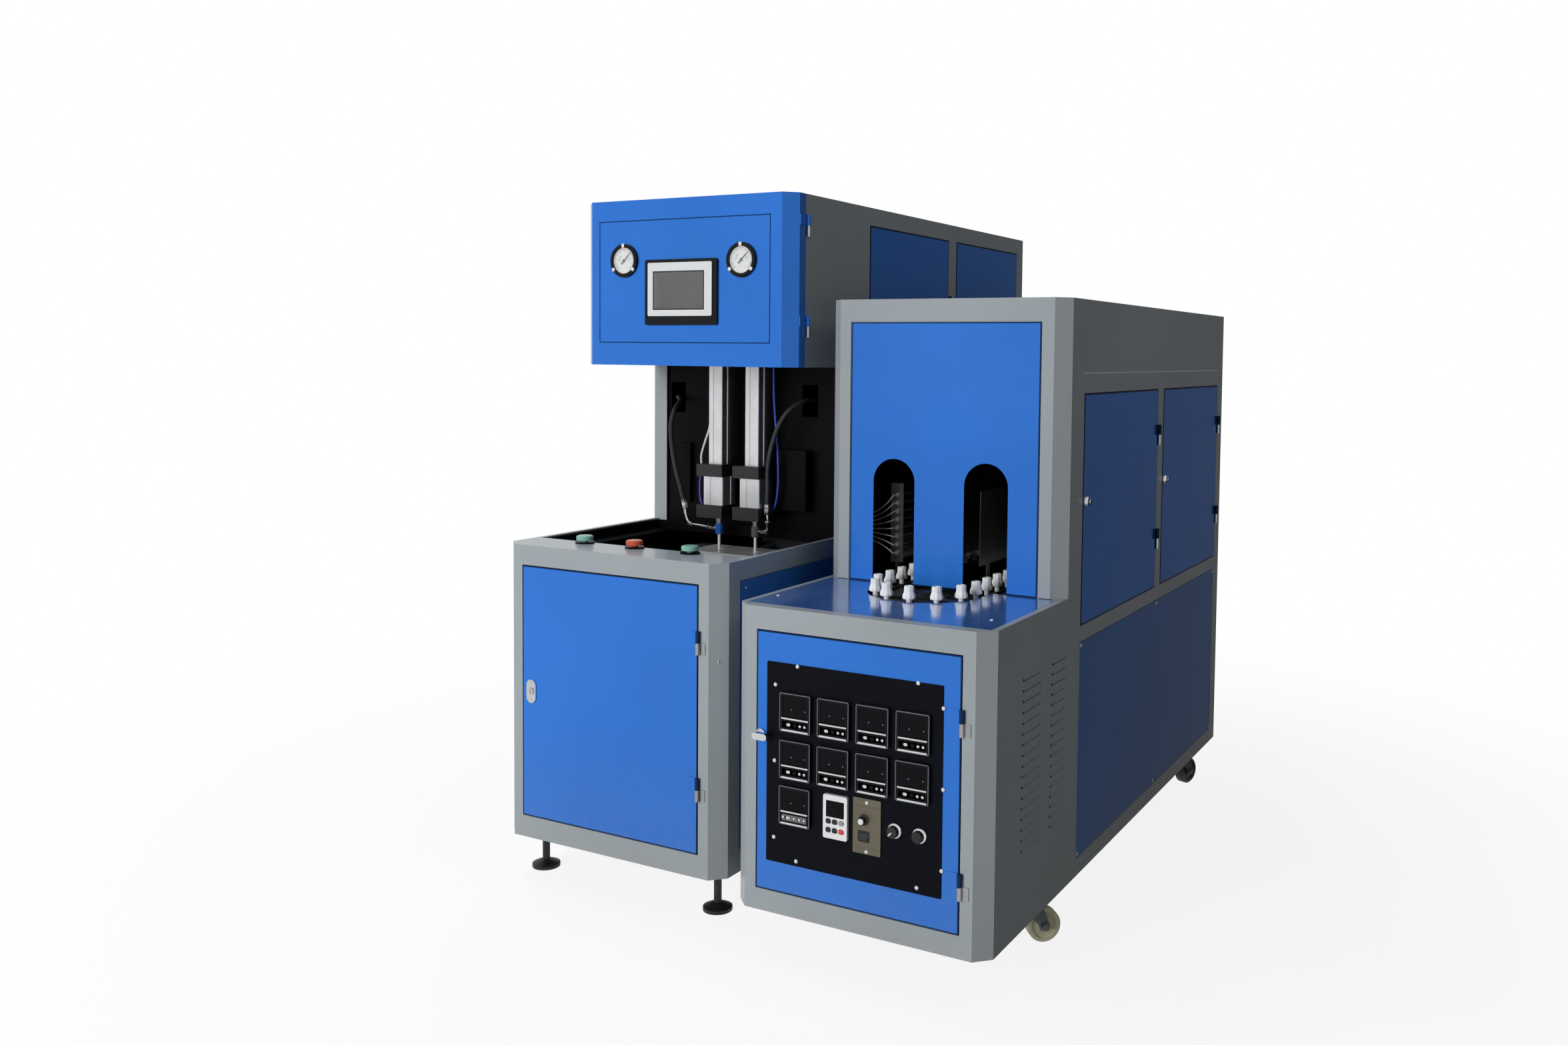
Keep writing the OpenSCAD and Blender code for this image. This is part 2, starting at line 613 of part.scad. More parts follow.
// Control door and what it carries
panel_x0 = 87;
panel_x1 = heater_w - 98;
panel_z0 = 212;
panel_z1 = 634;
plate_t = 2;
meter_w = 73;
meter_h = 80;
meter_x = [for (k = [0 : 3]) panel_x0 + 73 + 90 * k];
meter_z = [534, 435, 339];
meter_at = [for (z = [meter_z[0], meter_z[1]], x = meter_x) [x, z], [meter_x[0], meter_z[2]]];
meter_body = 64;
meter_depth = 62;
window_h = 42;
meter_keys = [[-17, 11], [0, 7], [12, 7], [23, 7]];
face_y = -door_proud - plate_t;
key_at = [257, 334.5];
key_w = 56;
key_h = 90;
speed_at = [327.7, 327];
speed_w = 63;
speed_h = 113;
speed_y = face_y - 3;
dial_at = [321, 340];
rocker_at = [321, 306];
knob_at = [[390, 330], [445, 330]];
spindle_r = 3;
control_hinges = [592, 271];
hinge_dz = half_hinge;
module panel_holes(y0, y1, extra = 0) {
    for (m = meter_at)
        block([m[0] - meter_body / 2 - extra, y0, m[1] - meter_body / 2 - extra],
              [m[0] + meter_body / 2 + extra, y1, m[1] + meter_body / 2 + extra]);
    block([key_at[0] - 22 - extra, y0, key_at[1] - 38 - extra],
          [key_at[0] + 22 + extra, y1, key_at[1] + 38 + extra]);
    block([speed_at[0] - 24 - extra, y0, speed_at[1] - 40 - extra],
          [speed_at[0] + 24 + extra, y1, speed_at[1] + 40 + extra]);
    for (k = knob_at) bar_y(k[0], k[1], spindle_r + run_fit, y0, y1);
}
handle_x = 72;
handle_z = 478;
module control_door() machine() color(panel_blue)
    on_front(border, 0, front_open_z)
        difference() {
            union() {
                difference() {
                    tray(control_open_w, front_open_h, []);
                    block([panel_x0 - border + 12, -5, panel_z0 - front_open_z + 12],
                          [panel_x1 - border - 12, door_d + 1, panel_z1 - front_open_z - 12]);
                }
                for (z = control_hinges) upper_hinge(control_open_w, z - hinge_dz - front_open_z);
            }
            bar_y(handle_x - border, handle_z - front_open_z, 6 + run_fit, -5, door_d + 5);
        }
module control_panel() machine() color(dark)
    difference() {
        plate((panel_x0 + panel_x1) / 2, (panel_z0 + panel_z1) / 2, panel_x1 - panel_x0, panel_z1 - panel_z0,
              3, face_y, -door_proud);
        panel_holes(-20, 20, 0.5);
    }
module temp_controllers() machine() color("#17181a")
    for (m = meter_at) {
        difference() {
            plate(m[0], m[1], meter_w, meter_h, 3, face_y - 9, face_y);
            plate(m[0], m[1] + 12, meter_w - 16, window_h, 2, face_y - 10, face_y - 6.5);
            plate(m[0], m[1] - 25, meter_w - 14, 13, 1, face_y - 10, face_y - 7.5);
        }
        block([m[0] - meter_body / 2, face_y - e, m[1] - meter_body / 2],
              [m[0] + meter_body / 2, face_y + meter_depth, m[1] + meter_body / 2]);
        for (k = meter_keys)
            plate(m[0] + k[0], m[1] - 25, k[1], 7, 1, face_y - 8.6, face_y - 7.5 + e);
    }
module keypad() machine() color(white) {
    plate(key_at[0], key_at[1], key_w, key_h, 4, face_y - 8, face_y);
    block([key_at[0] - 22, face_y - e, key_at[1] - 38], [key_at[0] + 22, face_y + 50, key_at[1] + 38]);
    for (i = [-1, 0, 1], j = [0, 1])
        plate(key_at[0] + 15 * i, key_at[1] - 9 - 18 * j, 11, 10, 2, face_y - 9.5, face_y - 8 + e);
}
module speed_unit() machine() color("#6f6a5d")
    difference() {
        union() {
            plate(speed_at[0], speed_at[1], speed_w, speed_h, 2, speed_y, face_y);
            block([speed_at[0] - 24, face_y - e, speed_at[1] - 40],
                  [speed_at[0] + 24, face_y + 55, speed_at[1] + 40]);
        }
        bar_y(dial_at[0], dial_at[1], spindle_r + run_fit, speed_y - 5, speed_y + 22);
        block([rocker_at[0] - 10, speed_y - 5, rocker_at[1] - 8],
              [rocker_at[0] + 10, speed_y + 16, rocker_at[1] + 8]);
    }
// A knob with a pointer: skirt, fluted grip and a spindle behind
module knob(at, y, r, depth, spindle, points = 0) {
    turned_front(at[0], y - rest_gap, at[1])
        polygon([[0, 0], [r, 0], [r, 2], [r * 0.72, 3.5], [r * 0.66, depth - 1], [r * 0.58, depth], [0, depth]]);
    bar_y(at[0], at[1], spindle_r, y - rest_gap - e, y + spindle);
    translate([at[0], y - rest_gap - depth, at[1]])
        rotate([0, points, 0]) block([-1.2, -1, 0], [1.2, e, r * 0.62]);
    for (k = [0 : 11])
        translate([at[0], 0, at[1]]) rotate([0, 30 * k, 0])
            block([r * 0.6, y - rest_gap - depth + 1.5, -1], [r * 0.76, y - rest_gap - 3, 1]);
}
module speed_knob() machine() color(dark) knob(dial_at, speed_y, 11, 13, 20);
module rocker_switch() machine() color("#202226")
    translate([rocker_at[0], speed_y + 2, rocker_at[1]])
        rotate([0, 90, 0])
            linear_extrude(19, center = true)
                polygon([[-7, -3.2], [0, -1.6], [6.8, -5.4], [7.1, -3], [4, 4], [-4, 4], [-7.4, -1]]);
module knob_left() machine() color("#2a2c30") knob(knob_at[0], face_y, 16, 16, 16, -135);
module knob_right() machine() color("#2a2c30") knob(knob_at[1], face_y, 16, 16, 16, 135);
// Cam latch: a lever outside, a shaft through the door, a tongue behind the stop
tongue_y = stop_depth + skin + 1;
module door_handle() machine() color(steel) {
    turned_front(handle_x, face_y + plate_t - 0.2, handle_z)
        polygon([[0, 0], [11, 0], [11, 5], [9, 8], [7, 8], [7, 14], [0, 14]]);
    plate(handle_x + 10, handle_z, 36, 14, 6.9, -handle_out, -handle_out + 11);
    bar_y(handle_x, handle_z, 6, -door_proud - 1, tongue_y + 8);
    block([handle_x - 6, tongue_y, handle_z - 30], [handle_x + 6, tongue_y + 4, handle_z + 6]);
}
// Right-hand doors of the heating chamber
side_hinges = [130, 402];
door_lock_z = 279;
module heater_door_front() machine() color(panel_blue)
    on_right(heater_w, side_front_y, side_door_z) {
        tray(door_a_w, side_door_top - side_door_z, side_hinges);
        cam_lock(18, door_lock_z, -door_proud);
    }
module heater_door_rear() machine() color(panel_blue)
    on_right(heater_w, door_b_y, side_door_z) {
        tray(door_b_w, side_door_top - side_door_z, side_hinges);
        cam_lock(18, door_lock_z, -door_proud);
    }

// Castors: each fork swivels about its king pin, each wheel spins on its axle
castor_x = [50, heater_w - 50];
castor_y = [352, heater_d - 201];
castor_turn = [40, 40, 70, 70];
king_r = 7;
fork_t = 3;
fork_in = wheel_w / 2 + 2;
axle_r = 5;
castor_plate_t = 4;
king_len = 12;
module at_castor(i)
    translate([castor_x[i % 2], castor_y[floor(i / 2)], 0]) rotate([0, 0, castor_turn[i]]) children();
module castor_fork(i) machine() color(dark) at_castor(i) {
    disc(24, under_h - castor_plate_t - 7, under_h - castor_plate_t - rest_gap);
    disc(king_r, under_h - 12, under_h + king_len - 3);
    for (s = [-1, 1])
        translate([0, s * (fork_in + fork_t / 2), 0])
            rotate([90, 0, 0])
                linear_extrude(fork_t, center = true)
                    polygon([[-20, under_h - 11], [20, under_h - 11], [trail + 12, wheel_r + 2],
                             [trail + 8, wheel_r - 10], [trail - 8, wheel_r - 10], [trail - 14, wheel_r + 4],
                             [-20, under_h - 24]]);
    block([-20, -fork_in - fork_t, under_h - 14], [20, fork_in + fork_t, under_h - 11]);
    disc(20, under_h - 12, under_h - castor_plate_t - 6);
    translate([trail, 0, wheel_r]) rotate([90, 0, 0]) {
        cylinder(r = axle_r, h = 2 * fork_in + 2 * fork_t + 8, center = true);
        for (s = [-1, 1])
            translate([0, 0, s * (fork_in + fork_t + 3)]) cylinder(r = 9, h = 6, center = true, $fn = 6);
    }
}
module castor_wheel(i) machine() color("#d9d5b8") at_castor(i)
    translate([trail, 0, wheel_r])
        rotate([90, 0, 0])
            rotate_extrude($fn = 72)
                polygon(let (h = wheel_w / 2)
                    [[axle_r + run_fit, -h - 1], [14, -h - 1], [14, -h + 4], [wheel_r - 9, -h + 4],
                     [wheel_r - 9, -h], [wheel_r - 3, -h], [wheel_r, -h + 3], [wheel_r, h - 3],
                     [wheel_r - 3, h], [wheel_r - 9, h], [wheel_r - 9, h - 4], [14, h - 4], [14, h + 1],
                     [axle_r + run_fit, h + 1]]);
module castor_fork_fl() castor_fork(0);
module castor_fork_fr() castor_fork(1);
module castor_fork_rl() castor_fork(2);
module castor_fork_rr() castor_fork(3);
module castor_wheel_fl() castor_wheel(0);
module castor_wheel_fr() castor_wheel(1);
module castor_wheel_rl() castor_wheel(2);
module castor_wheel_rr() castor_wheel(3);
// Blowing cabinet: table, pit and the bed that carries the clamp
strip_back = blow_front + strip_d;
rim_w = 14;
bed_z = 440;
rail_h = 60;
rail_w = 40;
rail_x = 110;
bed_y0 = 230;
bed_y1 = 1320;
bed_cross = [260, station_y - 30, 1240];
gear_r = gear_module * gear_teeth / 2;
gear_z0 = bed_z + 12;
gear_t = 18;
gear_pin_r = 8;
button_x = [-547, -396, -235];
button_y = blow_front + 97;
button_stem_r = 8;
collar_r = 23;
module blow_cabinet() machine() color(frame_grey) {
    difference() {
        column(blow_x0, blow_x1, blow_front, blow_back, under_h, table_h, bevel);
        column(blow_x0, blow_x1, blow_front, blow_back, under_h + skin, table_h - skin, bevel, skin);
        block([blow_x0 + rim_w, strip_back, table_h - 2 * skin],
              [blow_x1 - rim_w, tower_front - 8, table_h + 1]);
        block([blow_x0 + border, tower_front + 60, table_h - 2 * skin],
              [blow_x1 - border, blow_back - border, table_h + 1]);
        on_front(blow_x0 + border, blow_front, low_panel_z) opening(blow_w - 2 * border, front_door_h);
        on_right(blow_x1, low_panel_y, low_panel_z) opening(low_panel_w, low_panel_h);
        on_left(blow_x0, low_panel_y + low_panel_w, low_panel_z) opening(low_panel_w, low_panel_h);
        on_back(blow_x1 - border, blow_back, low_panel_z) opening(back_w, low_panel_h);
        for (x = button_x)
            translate([x, button_y, 0]) disc(button_stem_r + run_fit, table_h - 10, table_h + 1);
    }
    on_front(blow_x0 + border, blow_front, low_panel_z) jamb(blow_w - 2 * border, front_door_h, stop_depth);
    on_right(blow_x1, low_panel_y, low_panel_z) jamb(low_panel_w, low_panel_h, panel_depth);
    on_left(blow_x0, low_panel_y + low_panel_w, low_panel_z) jamb(low_panel_w, low_panel_h, panel_depth);
    on_back(blow_x1 - border, blow_back, low_panel_z) jamb(back_w, low_panel_h, panel_depth);
    // Rim of the pit, turned down
    difference() {
        block([blow_x0 + rim_w - skin, strip_back - skin, table_h - 30],
              [blow_x1 - rim_w + skin, tower_front - 8 + skin, table_h - e]);
        block([blow_x0 + rim_w, strip_back, table_h - 40], [blow_x1 - rim_w, tower_front - 8, table_h + 1]);
    }
    for (x = button_x)
        translate([x, button_y, 0])
            difference() {
                disc(collar_r, table_h - e, table_h + 4);
                disc(button_stem_r + run_fit, table_h - 10, table_h + 10);
            }
    for (s = [-1, 1])
        block([blow_mid + s * rail_x - rail_w / 2, bed_y0, bed_z - rail_h],
              [blow_mid + s * rail_x + rail_w / 2, bed_y1, bed_z]);
    for (y = bed_cross) {
        block([blow_x0 + 30, y, bed_z - rail_h - 40], [blow_x1 - 30, y + 60, bed_z - rail_h + e]);
        for (x = [blow_x0 + 30, blow_x1 - 70])
            block([x, y, under_h + e], [x + 40, y + 60, bed_z - rail_h]);
    }
    block([blow_mid - rail_x, station_y - 30, bed_z - rail_h - e], [blow_mid + rail_x, station_y + 30, bed_z]);
    translate([blow_mid, station_y, 0]) {
        disc(20, bed_z - e, gear_z0 - rest_gap);
        disc(gear_pin_r, bed_z - e, gear_z0 + gear_t + 2);
    }
}
// Tower and head: the grey upper body
head_seam = head_front + head_door_d;
head_lip = 15;
barrel_hole = stretch_w / 2 + 2;
module blow_tower() machine() color(frame_grey) {
    difference() {
        union() {
            block([blow_x0, head_seam, head_h], [blow_x1, tower_front + skin, blow_h]);
            block([blow_x0, tower_front, table_h], [blow_x1, blow_back, blow_h]);
        }
        block([blow_x0 + skin, head_seam + skin, head_h + skin],
              [blow_x1 - skin, tower_front + 2 * skin, blow_h - skin]);
        block([blow_x0 + skin, tower_front + skin, table_h + skin],
              [blow_x1 - skin, blow_back - skin, blow_h - skin]);
        block([blow_x0 + head_lip, head_seam - 1, head_h + head_lip],
              [blow_x1 - head_lip, head_seam + 2 * skin, blow_h - head_lip]);
        block([blow_x0 + border, tower_front + 60, table_h - 1],
              [blow_x1 - border, blow_back - border, table_h + 2 * skin]);
        on_right(blow_x1, tower_a_y, tower_door_z) opening(tower_a_w, tower_door_h);
        on_right(blow_x1, tower_b_y, tower_door_z) opening(tower_b_w, tower_door_h);
        on_left(blow_x0, tower_a_y + tower_panel_w, tower_door_z) opening(tower_panel_w, tower_door_h);
        on_back(blow_x1 - border, blow_back, tower_door_z) opening(back_w, tower_door_h);
        for (s = [-1, 1])
            translate([blow_mid + s * station_pitch / 2, station_y, head_h])
                linear_extrude(4 * skin, center = true) square(2 * barrel_hole, center = true);
        for (h = hose_slots)
            block([h[0] - 24, tower_front - 1, h[1] - 42], [h[0] + 24, tower_front + skin + 1, h[1] + 42]);
    }
    // Posts each side of the bay's back wall
    for (x = [blow_x0, blow_x1 - 42])
        block([x + e, tower_front - 8, table_h], [x + 42 - e, tower_front + e, head_h + e]);
    on_right(blow_x1, tower_a_y, tower_door_z) jamb(tower_a_w, tower_door_h, stop_depth);
    on_right(blow_x1, tower_b_y, tower_door_z) jamb(tower_b_w, tower_door_h, stop_depth);
    on_left(blow_x0, tower_a_y + tower_panel_w, tower_door_z) jamb(tower_panel_w, tower_door_h, panel_depth);
    on_back(blow_x1 - border, blow_back, tower_door_z) jamb(back_w, tower_door_h, panel_depth);
    // Valve box and cover plate on the bay's back wall
    block([blow_x1 - 211, tower_front - 36, table_h + 52], [blow_x1 - 125, tower_front + e, table_h + 211]);
    block([blow_x0 + 88, tower_front - 14, table_h + 52], [blow_x0 + 126, tower_front + e, table_h + 215]);
}
module levelling_feet() machine() color(dark)
    for (x = [blow_x0 + 60, blow_x1 - 60], y = [blow_front + 80, blow_back - 80])
        translate([x, y, 0])
            rotate_extrude()
                polygon([[0, 0], [34, 0], [34, 8], [16, 16], [9, 18], [9, under_h - 18], [18, under_h - 18],
                         [18, under_h], [0, under_h]]);
// Fixed halves of all the lift-off hinges, with their pins
front_door_h = 610;
front_hinges = [480, 150];
tower_hinges = [140, 560];
head_hinges = [98, blow_h - head_h - 76];
head_axis_y = head_seam + 4;
module hinge_pins() machine() color(steel) {
    on_front(border, 0, 0) for (z = control_hinges) lower_hinge(control_open_w, z - hinge_dz);
    for (z = side_hinges) {
        on_right(heater_w, side_front_y, side_door_z) lower_hinge(door_a_w, z);
        on_right(heater_w, door_b_y, side_door_z) lower_hinge(door_b_w, z);
    }
    on_front(blow_x0 + border, blow_front, low_panel_z)
        for (z = front_hinges) lower_hinge(blow_w - 2 * border, z);
    for (z = tower_hinges) {
        on_right(blow_x1, tower_a_y, tower_door_z) lower_hinge(tower_a_w, z);
        on_right(blow_x1, tower_b_y, tower_door_z) lower_hinge(tower_b_w, z);
    }
    on_right(blow_x1, head_axis_y - 1, head_h) for (z = head_hinges) lower_hinge(0, z);
}

// Stations: a stretch cylinder above a sealing cylinder, bored through for the rod
barrel_top = head_h + 55;
cap_low = 836;
seal_low = 870;
seal_top = 946;
stretch_low = 978;
bore_r = 14;
seal_bore_r = 24;
guide_r = 8;
block_left = 48;
block_right = 33;
block_half = 38;
module at_station(s) translate([blow_mid + s * station_pitch / 2, station_y, 0]) children();
module profile(w, bore)
    difference() {
        rounded(w, w, 4);
        circle(bore);
        for (a = [0 : 90 : 270])
            rotate(a) translate([w / 2, 0]) square([3, w * 0.3], center = true);
    }
module cylinder_barrels() machine() color(steel)
    for (s = [-1, 1]) at_station(s) {
        translate([0, 0, seal_low]) linear_extrude(seal_top - seal_low) profile(seal_w, seal_bore_r);
        translate([0, 0, stretch_low]) linear_extrude(barrel_top - stretch_low) profile(stretch_w, bore_r);
    }
clamp_block_z = head_h + skin;
module cylinder_blocks() machine() color(dark) {
    for (s = [-1, 1]) at_station(s) {
        difference() {
            block([-block_left, -block_half, cap_low], [block_right, block_half, seal_low]);
            disc(guide_r + run_fit, cap_low - 1, seal_low + 1);
        }
        difference() {
            block([-block_left, -block_half, seal_top], [block_right, block_half, stretch_low]);
            disc(rod_r + run_fit, seal_top - 1, stretch_low + 1);
        }
        difference() {
            block([-36, -36, clamp_block_z], [36, 36, clamp_block_z + 22]);
            translate([0, 0, clamp_block_z - 1])
                linear_extrude(24) rounded(stretch_w, stretch_w, 4);
        }
        difference() {
            block([-stretch_w / 2, -stretch_w / 2, barrel_top],
                  [stretch_w / 2, stretch_w / 2, barrel_top + 16]);
            disc(4, barrel_top - 1, barrel_top + 17);
        }
    }
    for (t = valve_tubes) tube(smooth(t, 4), 3, 8, [0, 1, 0]);
}
port_y = station_y + 6;
left_x = blow_mid - station_pitch / 2;
right_x = blow_mid + station_pitch / 2;
valve_tubes = [
    [[left_x - 34, port_y, head_h - rest_gap], [left_x - 34, port_y, 1150], [left_x - 36, port_y, 1080],
     [left_x - 48, port_y, 1045], [left_x - 62, port_y, 1005], [left_x - 64, port_y, 985],
     [left_x - 60, port_y, 966], [left_x - block_left - rest_gap, port_y, 962]],
    [[left_x - block_left - rest_gap, port_y, 956], [left_x - 62, port_y, 948], [left_x - 68, port_y, 930],
     [left_x - 68, port_y, 890], [left_x - 62, port_y, 868], [left_x - block_left - rest_gap, port_y, 860]],
    [[right_x + 50, port_y, head_h - rest_gap], [right_x + 52, port_y, 1150], [right_x + 60, port_y, 1060],
     [right_x + 64, port_y, 1010], [right_x + 66, port_y, 940], [right_x + 60, port_y, 885],
     [right_x + 48, port_y, 862], [right_x + block_right + rest_gap, port_y, 856]]];

// Moving parts of the stations
nozzle_top = 818;
nozzle_low = 790;
piston_t = 18;
piston_z = seal_top - 32;
nozzle_r = 11;
rod_tip = mould_top - 12;
stretch_piston_z = barrel_top - 30;
module seal_nozzles() machine() color("#2f78b8")
    for (s = [-1, 1]) at_station(s)
        difference() {
            union() {
                disc(guide_r, nozzle_low + 4, piston_z + e);
                disc(seal_bore_r - run_fit, piston_z, piston_z + piston_t);
                rotate_extrude()
                    polygon([[0, nozzle_low], [nozzle_r - 2, nozzle_low], [nozzle_r, nozzle_low + 3],
                             [nozzle_r, nozzle_top - 2], [nozzle_r - 2, nozzle_top], [0, nozzle_top]]);
            }
            disc(rod_r + run_fit, nozzle_low - 1, piston_z + piston_t + 1);
        }
module stretch_rods() machine() color(steel)
    for (s = [-1, 1]) at_station(s) {
        disc(rod_r, rod_tip + 3, stretch_piston_z + e);
        translate([0, 0, rod_tip]) cylinder(r1 = rod_r - 1.5, r2 = rod_r, h = 3 + e);
        disc(bore_r - run_fit, stretch_piston_z, stretch_piston_z + 16);
    }
// Blow hoses: from a nozzle's side port, round, up and back through the bay's wall
hose_r = 6;
pipe_r = 4;
hose_slots = [[-640, 1150], [-215, 1150]];
port_z = (nozzle_top + nozzle_low) / 2 + 2;
hose_y = station_y - 14;
left_hose = [
    [-560, hose_y, 862.3], [-572, hose_y, 905], [-590, hose_y, 960], [-604, hose_y, 1030],
    [-606, hose_y, 1080], [-600, hose_y + 8, 1118], [-606, hose_y + 40, 1142],
    [-632, tower_front - 12, 1152], [-640, tower_front + 24, 1150]];
left_pipe = [
    [left_x - nozzle_r - rest_gap, station_y, port_z], [left_x - 16, station_y, port_z],
    [left_x - 24, station_y, port_z], [left_x - 56, hose_y + 6, port_z + 4],
    [left_x - 84, hose_y, port_z + 8], [left_x - 98, hose_y, port_z + 24], [-560, hose_y, 862]];
right_hose = [
    [right_x + 44, hose_y, 864.3], [right_x + 46, hose_y, 920], [right_x + 46, hose_y, 975],
    [right_x + 60, hose_y, 1040], [right_x + 84, hose_y, 1096], [right_x + 106, hose_y + 12, 1130],
    [right_x + 122, hose_y + 44, 1148],
    [-215, tower_front - 10, 1152], [-215, tower_front + 24, 1150]];
right_pipe = [
    [right_x + nozzle_r + rest_gap, station_y, port_z], [right_x + 16, station_y, port_z],
    [right_x + 24, station_y, port_z], [right_x + 42, hose_y + 6, port_z + 8],
    [right_x + 47, hose_y, port_z + 28], [right_x + 44, hose_y, 864]];
module blow_hoses() machine() color(dark) {
    tube(smooth(left_hose, 3), hose_r, 10, [0, 1, 0]);
    tube(smooth(right_hose, 3), hose_r, 10, [0, 1, 0]);
    tube(smooth(left_pipe, 3), pipe_r, 10, [0, 1, 0]);
    tube(smooth(right_pipe, 3), pipe_r, 10, [0, 1, 0]);
}

// Head door with its instruments
head_mid = (head_h + blow_h) / 2;
press_w = 3;
press_d = 0.8;
press_in = [54, 50];
gauge_at = [[-579, head_mid + 56], [-224, head_mid + 50]];
gauge_r = 42;
gauge_hole = 37;
touch_at = [-402, head_mid - 25];
touch_w = 218;
touch_h = 162;
module head_door() machine() color(panel_blue)
    difference() {
        union() {
            difference() {
                column(blow_x0, blow_x1, head_front, head_seam + 200, head_h, blow_h, bevel - 2);
                column(blow_x0, blow_x1, head_front, head_seam + 200, head_h + panel_t, blow_h - panel_t,
                       bevel - 2, panel_t);
                block([blow_x0 - 1, head_seam - rest_gap, head_h - 1], [blow_x1 + 1, blow_back, blow_h + 1]);
            }
            on_right(blow_x1, head_axis_y - 1, head_h) for (z = head_hinges) head_upper_hinge(z);
        }
        for (g = gauge_at) bar_y(g[0], g[1], gauge_hole + 0.5, head_front - 5, head_front + 10);
        // A line pressed into the face, all round the instruments
        difference() {
            block([blow_x0 + press_in[0], head_front - 1, head_h + press_in[1] + 6],
                  [blow_x1 - press_in[0] - 8, head_front + press_d, blow_h - press_in[1]]);
            block([blow_x0 + press_in[0] + press_w, head_front - 2, head_h + press_in[1] + 6 + press_w],
                  [blow_x1 - press_in[0] - 8 - press_w, head_front + 1, blow_h - press_in[1] - press_w]);
        }
        block([touch_at[0] - touch_w / 2 + 8, head_front - 5, touch_at[1] - touch_h / 2 + 8],
              [touch_at[0] + touch_w / 2 - 8, head_front + 10, touch_at[1] + touch_h / 2 - 8]);
    }
// The head door's hinge half has a longer leaf
module head_upper_hinge(z)
    difference() {
        union() {
            translate([hinge_x, hinge_y, z + rest_gap / 2]) cylinder(r = barrel_r, h = half_hinge);
            block([-leaf - 6, -2, z + rest_gap / 2], [hinge_x, 0, z + rest_gap / 2 + half_hinge]);
        }
        translate([hinge_x, hinge_y, z - 1]) cylinder(r = pin_r + run_fit, h = half_hinge - 3);
    }
module touch_panel() machine() color("#26282b")
    difference() {
        union() {
            plate(touch_at[0], touch_at[1], touch_w, touch_h, 6, head_front - 7, head_front);
            plate(touch_at[0] - 1, touch_at[1] + 7, touch_w - 24, touch_h - 30, 4,
                  head_front - 10, head_front - 7 + e);
            block([touch_at[0] - touch_w / 2 + 9, head_front - e, touch_at[1] - touch_h / 2 + 9],
                  [touch_at[0] + touch_w / 2 - 9, head_front + 38, touch_at[1] + touch_h / 2 - 9]);
        }
        plate(touch_at[0] - 4, touch_at[1] + 4, touch_w - 62, touch_h - 66, 1, head_front - 11, head_front - 8.5);
    }
needle_fit = 1.5;
module pressure_gauges() machine() color("#e9e9e6")
    for (g = gauge_at)
        turned_front(g[0], head_front, g[1])
            polygon([[0, -30], [9, -30], [9, -24], [gauge_hole - 2, -22], [gauge_hole, -19], [gauge_hole, 0],
                     [gauge_r, 0], [gauge_r, 4], [gauge_r - 2, 8.5], [gauge_r - 6, 8.5], [gauge_r - 6, 3],
                     [needle_fit, 3], [needle_fit, 6.5], [0, 6.5]]);
module needle(g, turn)
    machine() color(dark)
        translate([g[0], head_front - 4, g[1]])
            rotate([0, turn, 0])
                rotate([90, 0, 0])
                    linear_extrude(1.4)
                        difference() {
                            union() {
                                circle(4);
                                polygon([[-2, -12], [2, -12], [1.6, 0], [0.4, 29], [-0.4, 29], [-1.6, 0]]);
                            }
                            circle(needle_fit + run_fit);
                        }
needle_turn = 45;
module gauge_needle_left() needle(gauge_at[0], needle_turn);
module gauge_needle_right() needle(gauge_at[1], needle_turn);
lock_x = 30;
lock_z = 307;
plug_r = 8;
module blow_front_door() machine() color(panel_blue)
    on_front(blow_x0 + border, blow_front, low_panel_z)
        difference() {
            union() {
                tray(blow_w - 2 * border, front_door_h, front_hinges);
                plate(lock_x, lock_z, 28, 56, 13.9, -door_proud - 3, -door_proud + e);
            }
            bar_y(lock_x, lock_z, plug_r + run_fit, -10, door_d + 1);
        }
module front_door_lock() machine() color(steel)
    on_front(blow_x0 + border, blow_front, low_panel_z) {
        difference() {
            bar_y(lock_x, lock_z, plug_r, -door_proud - 6, tongue_y + 6);
            block([lock_x - 1, -10, lock_z - 5], [lock_x + 1, -door_proud - 3, lock_z + 5]);
        }
        block([lock_x - 8, tongue_y, lock_z - 36], [lock_x + 8, tongue_y + 4, lock_z + 8]);
    }
module tower_door_front() machine() color(panel_blue)
    on_right(blow_x1, tower_a_y, tower_door_z) {
        tray(tower_a_w, tower_door_h, tower_hinges);
        cam_lock(20, tower_door_h / 2, -door_proud);
    }
module tower_door_rear() machine() color(panel_blue)
    on_right(blow_x1, tower_b_y, tower_door_z) {
        tray(tower_b_w, tower_door_h, tower_hinges);
        cam_lock(20, tower_door_h / 2, -door_proud);
    }
// Push buttons: a broad cap on a stem that slides in its collar
press = 4;
module push_button(x)
    machine() translate([x, button_y, 0]) {
        rotate_extrude()
            polygon([[0, table_h + 4 + press + 0.5], [20, table_h + 4 + press + 0.5], [20, table_h + 17],
                     [17, table_h + 19], [0, table_h + 20]]);
        disc(button_stem_r, table_h - 16, table_h + 4 + press + 1);
    }
module green_button_left() color("#6fb08b") push_button(button_x[0]);
module red_button() color("#c8412c") push_button(button_x[1]);
module green_button_right() color("#6fb08b") push_button(button_x[2]);

